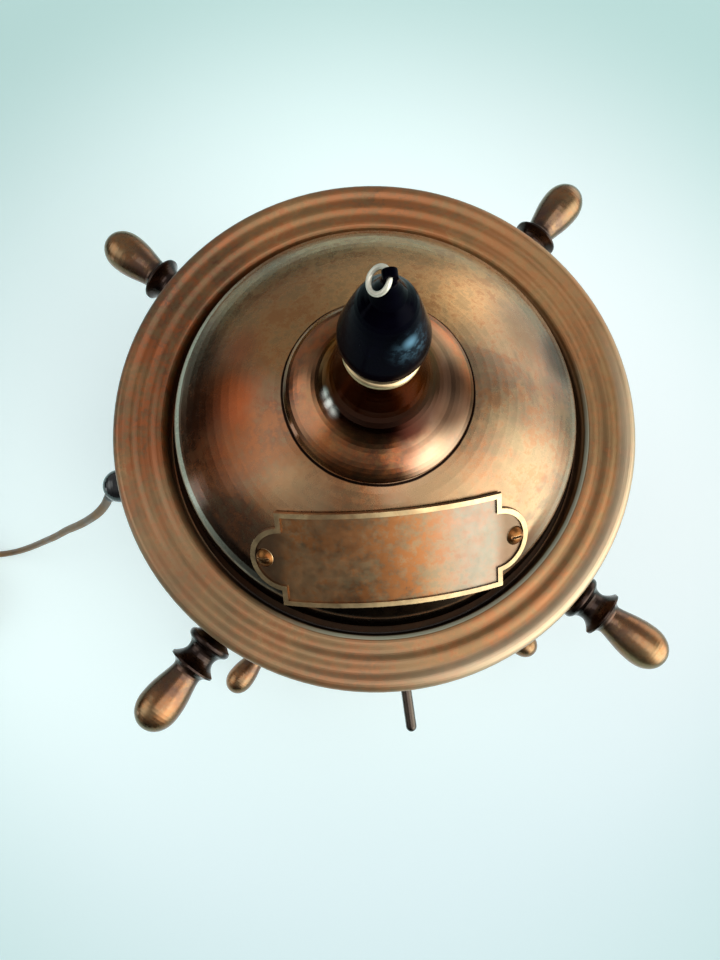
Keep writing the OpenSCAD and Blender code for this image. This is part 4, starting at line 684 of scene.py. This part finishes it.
for row in frame["record"]["subparts"]:
    name = row["node"]
    look = HANDLE_LOOK if "_handle_" in name else SPECIAL.get(name, LOOKS[row["material_slot"]])
    dress(NODES[name], look)
dress(cord, LOOKS["cord"])
for lead in leads:
    dress(lead, LOOKS["lead"])


# Floor and light
def make_floor():
    """A round pale table, painted a little darker away from the lamp as fall-off of light."""
    rim = [math.radians(360 * i / FLOOR_SIDES) for i in range(FLOOR_SIDES)]
    data = bpy.data.meshes.new("floor")
    data.from_pydata([(FLOOR_R * math.cos(a), FLOOR_R * math.sin(a), 0) for a in rim], [], [range(FLOOR_SIDES)])
    floor = bpy.data.objects.new("floor", data)
    bpy.context.scene.collection.objects.link(floor)
    look = Look("pale_floor")
    radius = look.axis_radius()
    soft = look.ramp(look.noise(3.0, 2.0), [(0.3, (0.765, 0.895, 0.925)), (0.7, (0.785, 0.915, 0.945))])
    across = look.put(look.add("ShaderNodeSeparateXYZ"), look.place).outputs
    # Painted fall-off of light: a little darker to the right, towards the front and away from the lamp.
    soft = look.mix(look.level(across["X"], 0.0, 0.28), soft, (0.755, 0.840, 0.880))
    soft = look.mix(look.level(across["Y"], 0.0, -0.34, 0.0, 0.85), soft, (0.57, 0.69, 0.745))
    colour = look.mix(look.level(radius, 0.26, 0.60), soft, (0.42, 0.60, 0.60))
    rays = look.add("ShaderNodeLightPath").outputs
    seen = look.plus(look.plus(rays["Is Camera Ray"], rays["Is Glossy Ray"]), rays["Is Transmission Ray"])
    look.set(Base_Color=colour, Emission_Color=colour, Emission_Strength=look.times(seen, FLOOR_GLOW))
    look.shader.inputs["Roughness"].default_value = 0.9
    look.shader.inputs["Specular IOR Level"].default_value = 0.05
    dress(floor, look.material)


def toward(azimuth, elevation):
    a, e = math.radians(azimuth), math.radians(elevation)
    return (math.cos(e) * math.cos(a), math.cos(e) * math.sin(a), math.sin(e))


# Soft windows of the room: azimuth from +X, elevation, inner and outer half-angle, colour and strength.
WINDOWS = [
    (328, 10, 10, 46, (0.97, 1.0, 0.90), 3.4),
    (172, 32, 6, 30, (0.95, 1.0, 0.96), 1.3),
    (32, 0, 8, 36, (1.0, 0.98, 0.90), 1.2),
    (304, 40, 6, 28, (1.0, 0.98, 0.92), 1.8),
    (50, -8, 14, 40, (1.0, 1.0, 0.90), 0.2),
]
# Dark sides of the room: azimuth, elevation, inner and outer half-angle.
DARKS = [(245, -2, 18, 52), (168, -8, 10, 34)]
ROOM = (0.90, 0.94, 0.93)
ROOM_LIGHT = 0.36
FLOOR_R = 1.3
FLOOR_SIDES = 96
BELOW = 0.10
FLOOR_GLOW = 0.26
BACKDROP = (0.80, 0.92, 0.93)


def make_room():
    world = bpy.data.worlds.new("room")
    world.use_nodes = True
    tree = world.node_tree
    tree.nodes.clear()

    def vector(operation, a, b):
        node = tree.nodes.new("ShaderNodeVectorMath")
        node.operation = operation
        tree.links.new(a, node.inputs[0])
        if isinstance(b, tuple):
            node.inputs[1].default_value = b
        else:
            tree.links.new(b, node.inputs["Scale"] if operation == "SCALE" else node.inputs[1])
        return node

    def patch(azimuth, elevation, inner, outer, inside, outside):
        dot = vector("DOT_PRODUCT", way, toward(azimuth, elevation))
        edge = tree.nodes.new("ShaderNodeMapRange")
        edge.interpolation_type = "SMOOTHSTEP"
        tree.links.new(dot.outputs["Value"], edge.inputs[0])
        for i, value in enumerate((math.cos(math.radians(outer)), math.cos(math.radians(inner)), outside, inside)):
            edge.inputs[i + 1].default_value = value
        return edge.outputs["Result"]

    way = tree.nodes.new("ShaderNodeTexCoord").outputs["Generated"]
    shade = tree.nodes.new("ShaderNodeCombineXYZ")
    for socket, value in zip(shade.inputs, ROOM):
        socket.default_value = value * ROOM_LIGHT
    total = shade.outputs[0]
    total = vector("SCALE", total, patch(0, -90, 80, 92, BELOW, 1.0)).outputs[0]
    for azimuth, elevation, inner, outer in DARKS:
        total = vector("SCALE", total, patch(azimuth, elevation, inner, outer, 0.12, 1.0)).outputs[0]
    for azimuth, elevation, inner, outer, colour, strength in WINDOWS:
        shade = tree.nodes.new("ShaderNodeVectorMath")
        shade.operation = "SCALE"
        shade.inputs[0].default_value = colour
        tree.links.new(patch(azimuth, elevation, inner, outer, strength, 0.0), shade.inputs["Scale"])
        total = vector("ADD", shade.outputs[0], total).outputs[0]
    rays = tree.nodes.new("ShaderNodeLightPath")
    seen = tree.nodes.new("ShaderNodeMix")
    seen.data_type = "RGBA"
    plain = tree.nodes.new("ShaderNodeMath")
    plain.operation = "MAXIMUM"
    tree.links.new(rays.outputs["Is Camera Ray"], plain.inputs[0])
    tree.links.new(rays.outputs["Is Transmission Ray"], plain.inputs[1])
    tree.links.new(plain.outputs[0], seen.inputs["Factor"])
    tree.links.new(total, seen.inputs[6])
    seen.inputs[7].default_value = (*BACKDROP, 1.0)
    light = tree.nodes.new("ShaderNodeBackground")
    tree.links.new(seen.outputs[2], light.inputs["Color"])
    out = tree.nodes.new("ShaderNodeOutputWorld")
    tree.links.new(light.outputs[0], out.inputs["Surface"])
    bpy.context.scene.world = world


def make_light(name, at, aim, size, power, colour):
    data = bpy.data.lights.new(name, "AREA")
    data.shape = "RECTANGLE"
    data.size, data.size_y = size
    data.energy = power
    data.color = colour
    lamp = bpy.data.objects.new(name, data)
    lamp.location = at
    lamp.visible_camera = False
    lamp.rotation_euler = (Vector(aim) - Vector(at)).to_track_quat("-Z", "Y").to_euler()
    bpy.context.scene.collection.objects.link(lamp)


make_floor()
make_room()
make_light("overhead", (0.3, -0.4, 2.2), (0, 0, 0), (1.4, 1.4), 9.5, (1.0, 0.98, 0.95))
make_light("left_window", (-1.5, -0.13, 0.10), (0, 0, 0.37), (0.25, 0.35), 0.45, (0.94, 1.0, 1.0))
bpy.context.scene.view_settings.view_transform = "Standard"
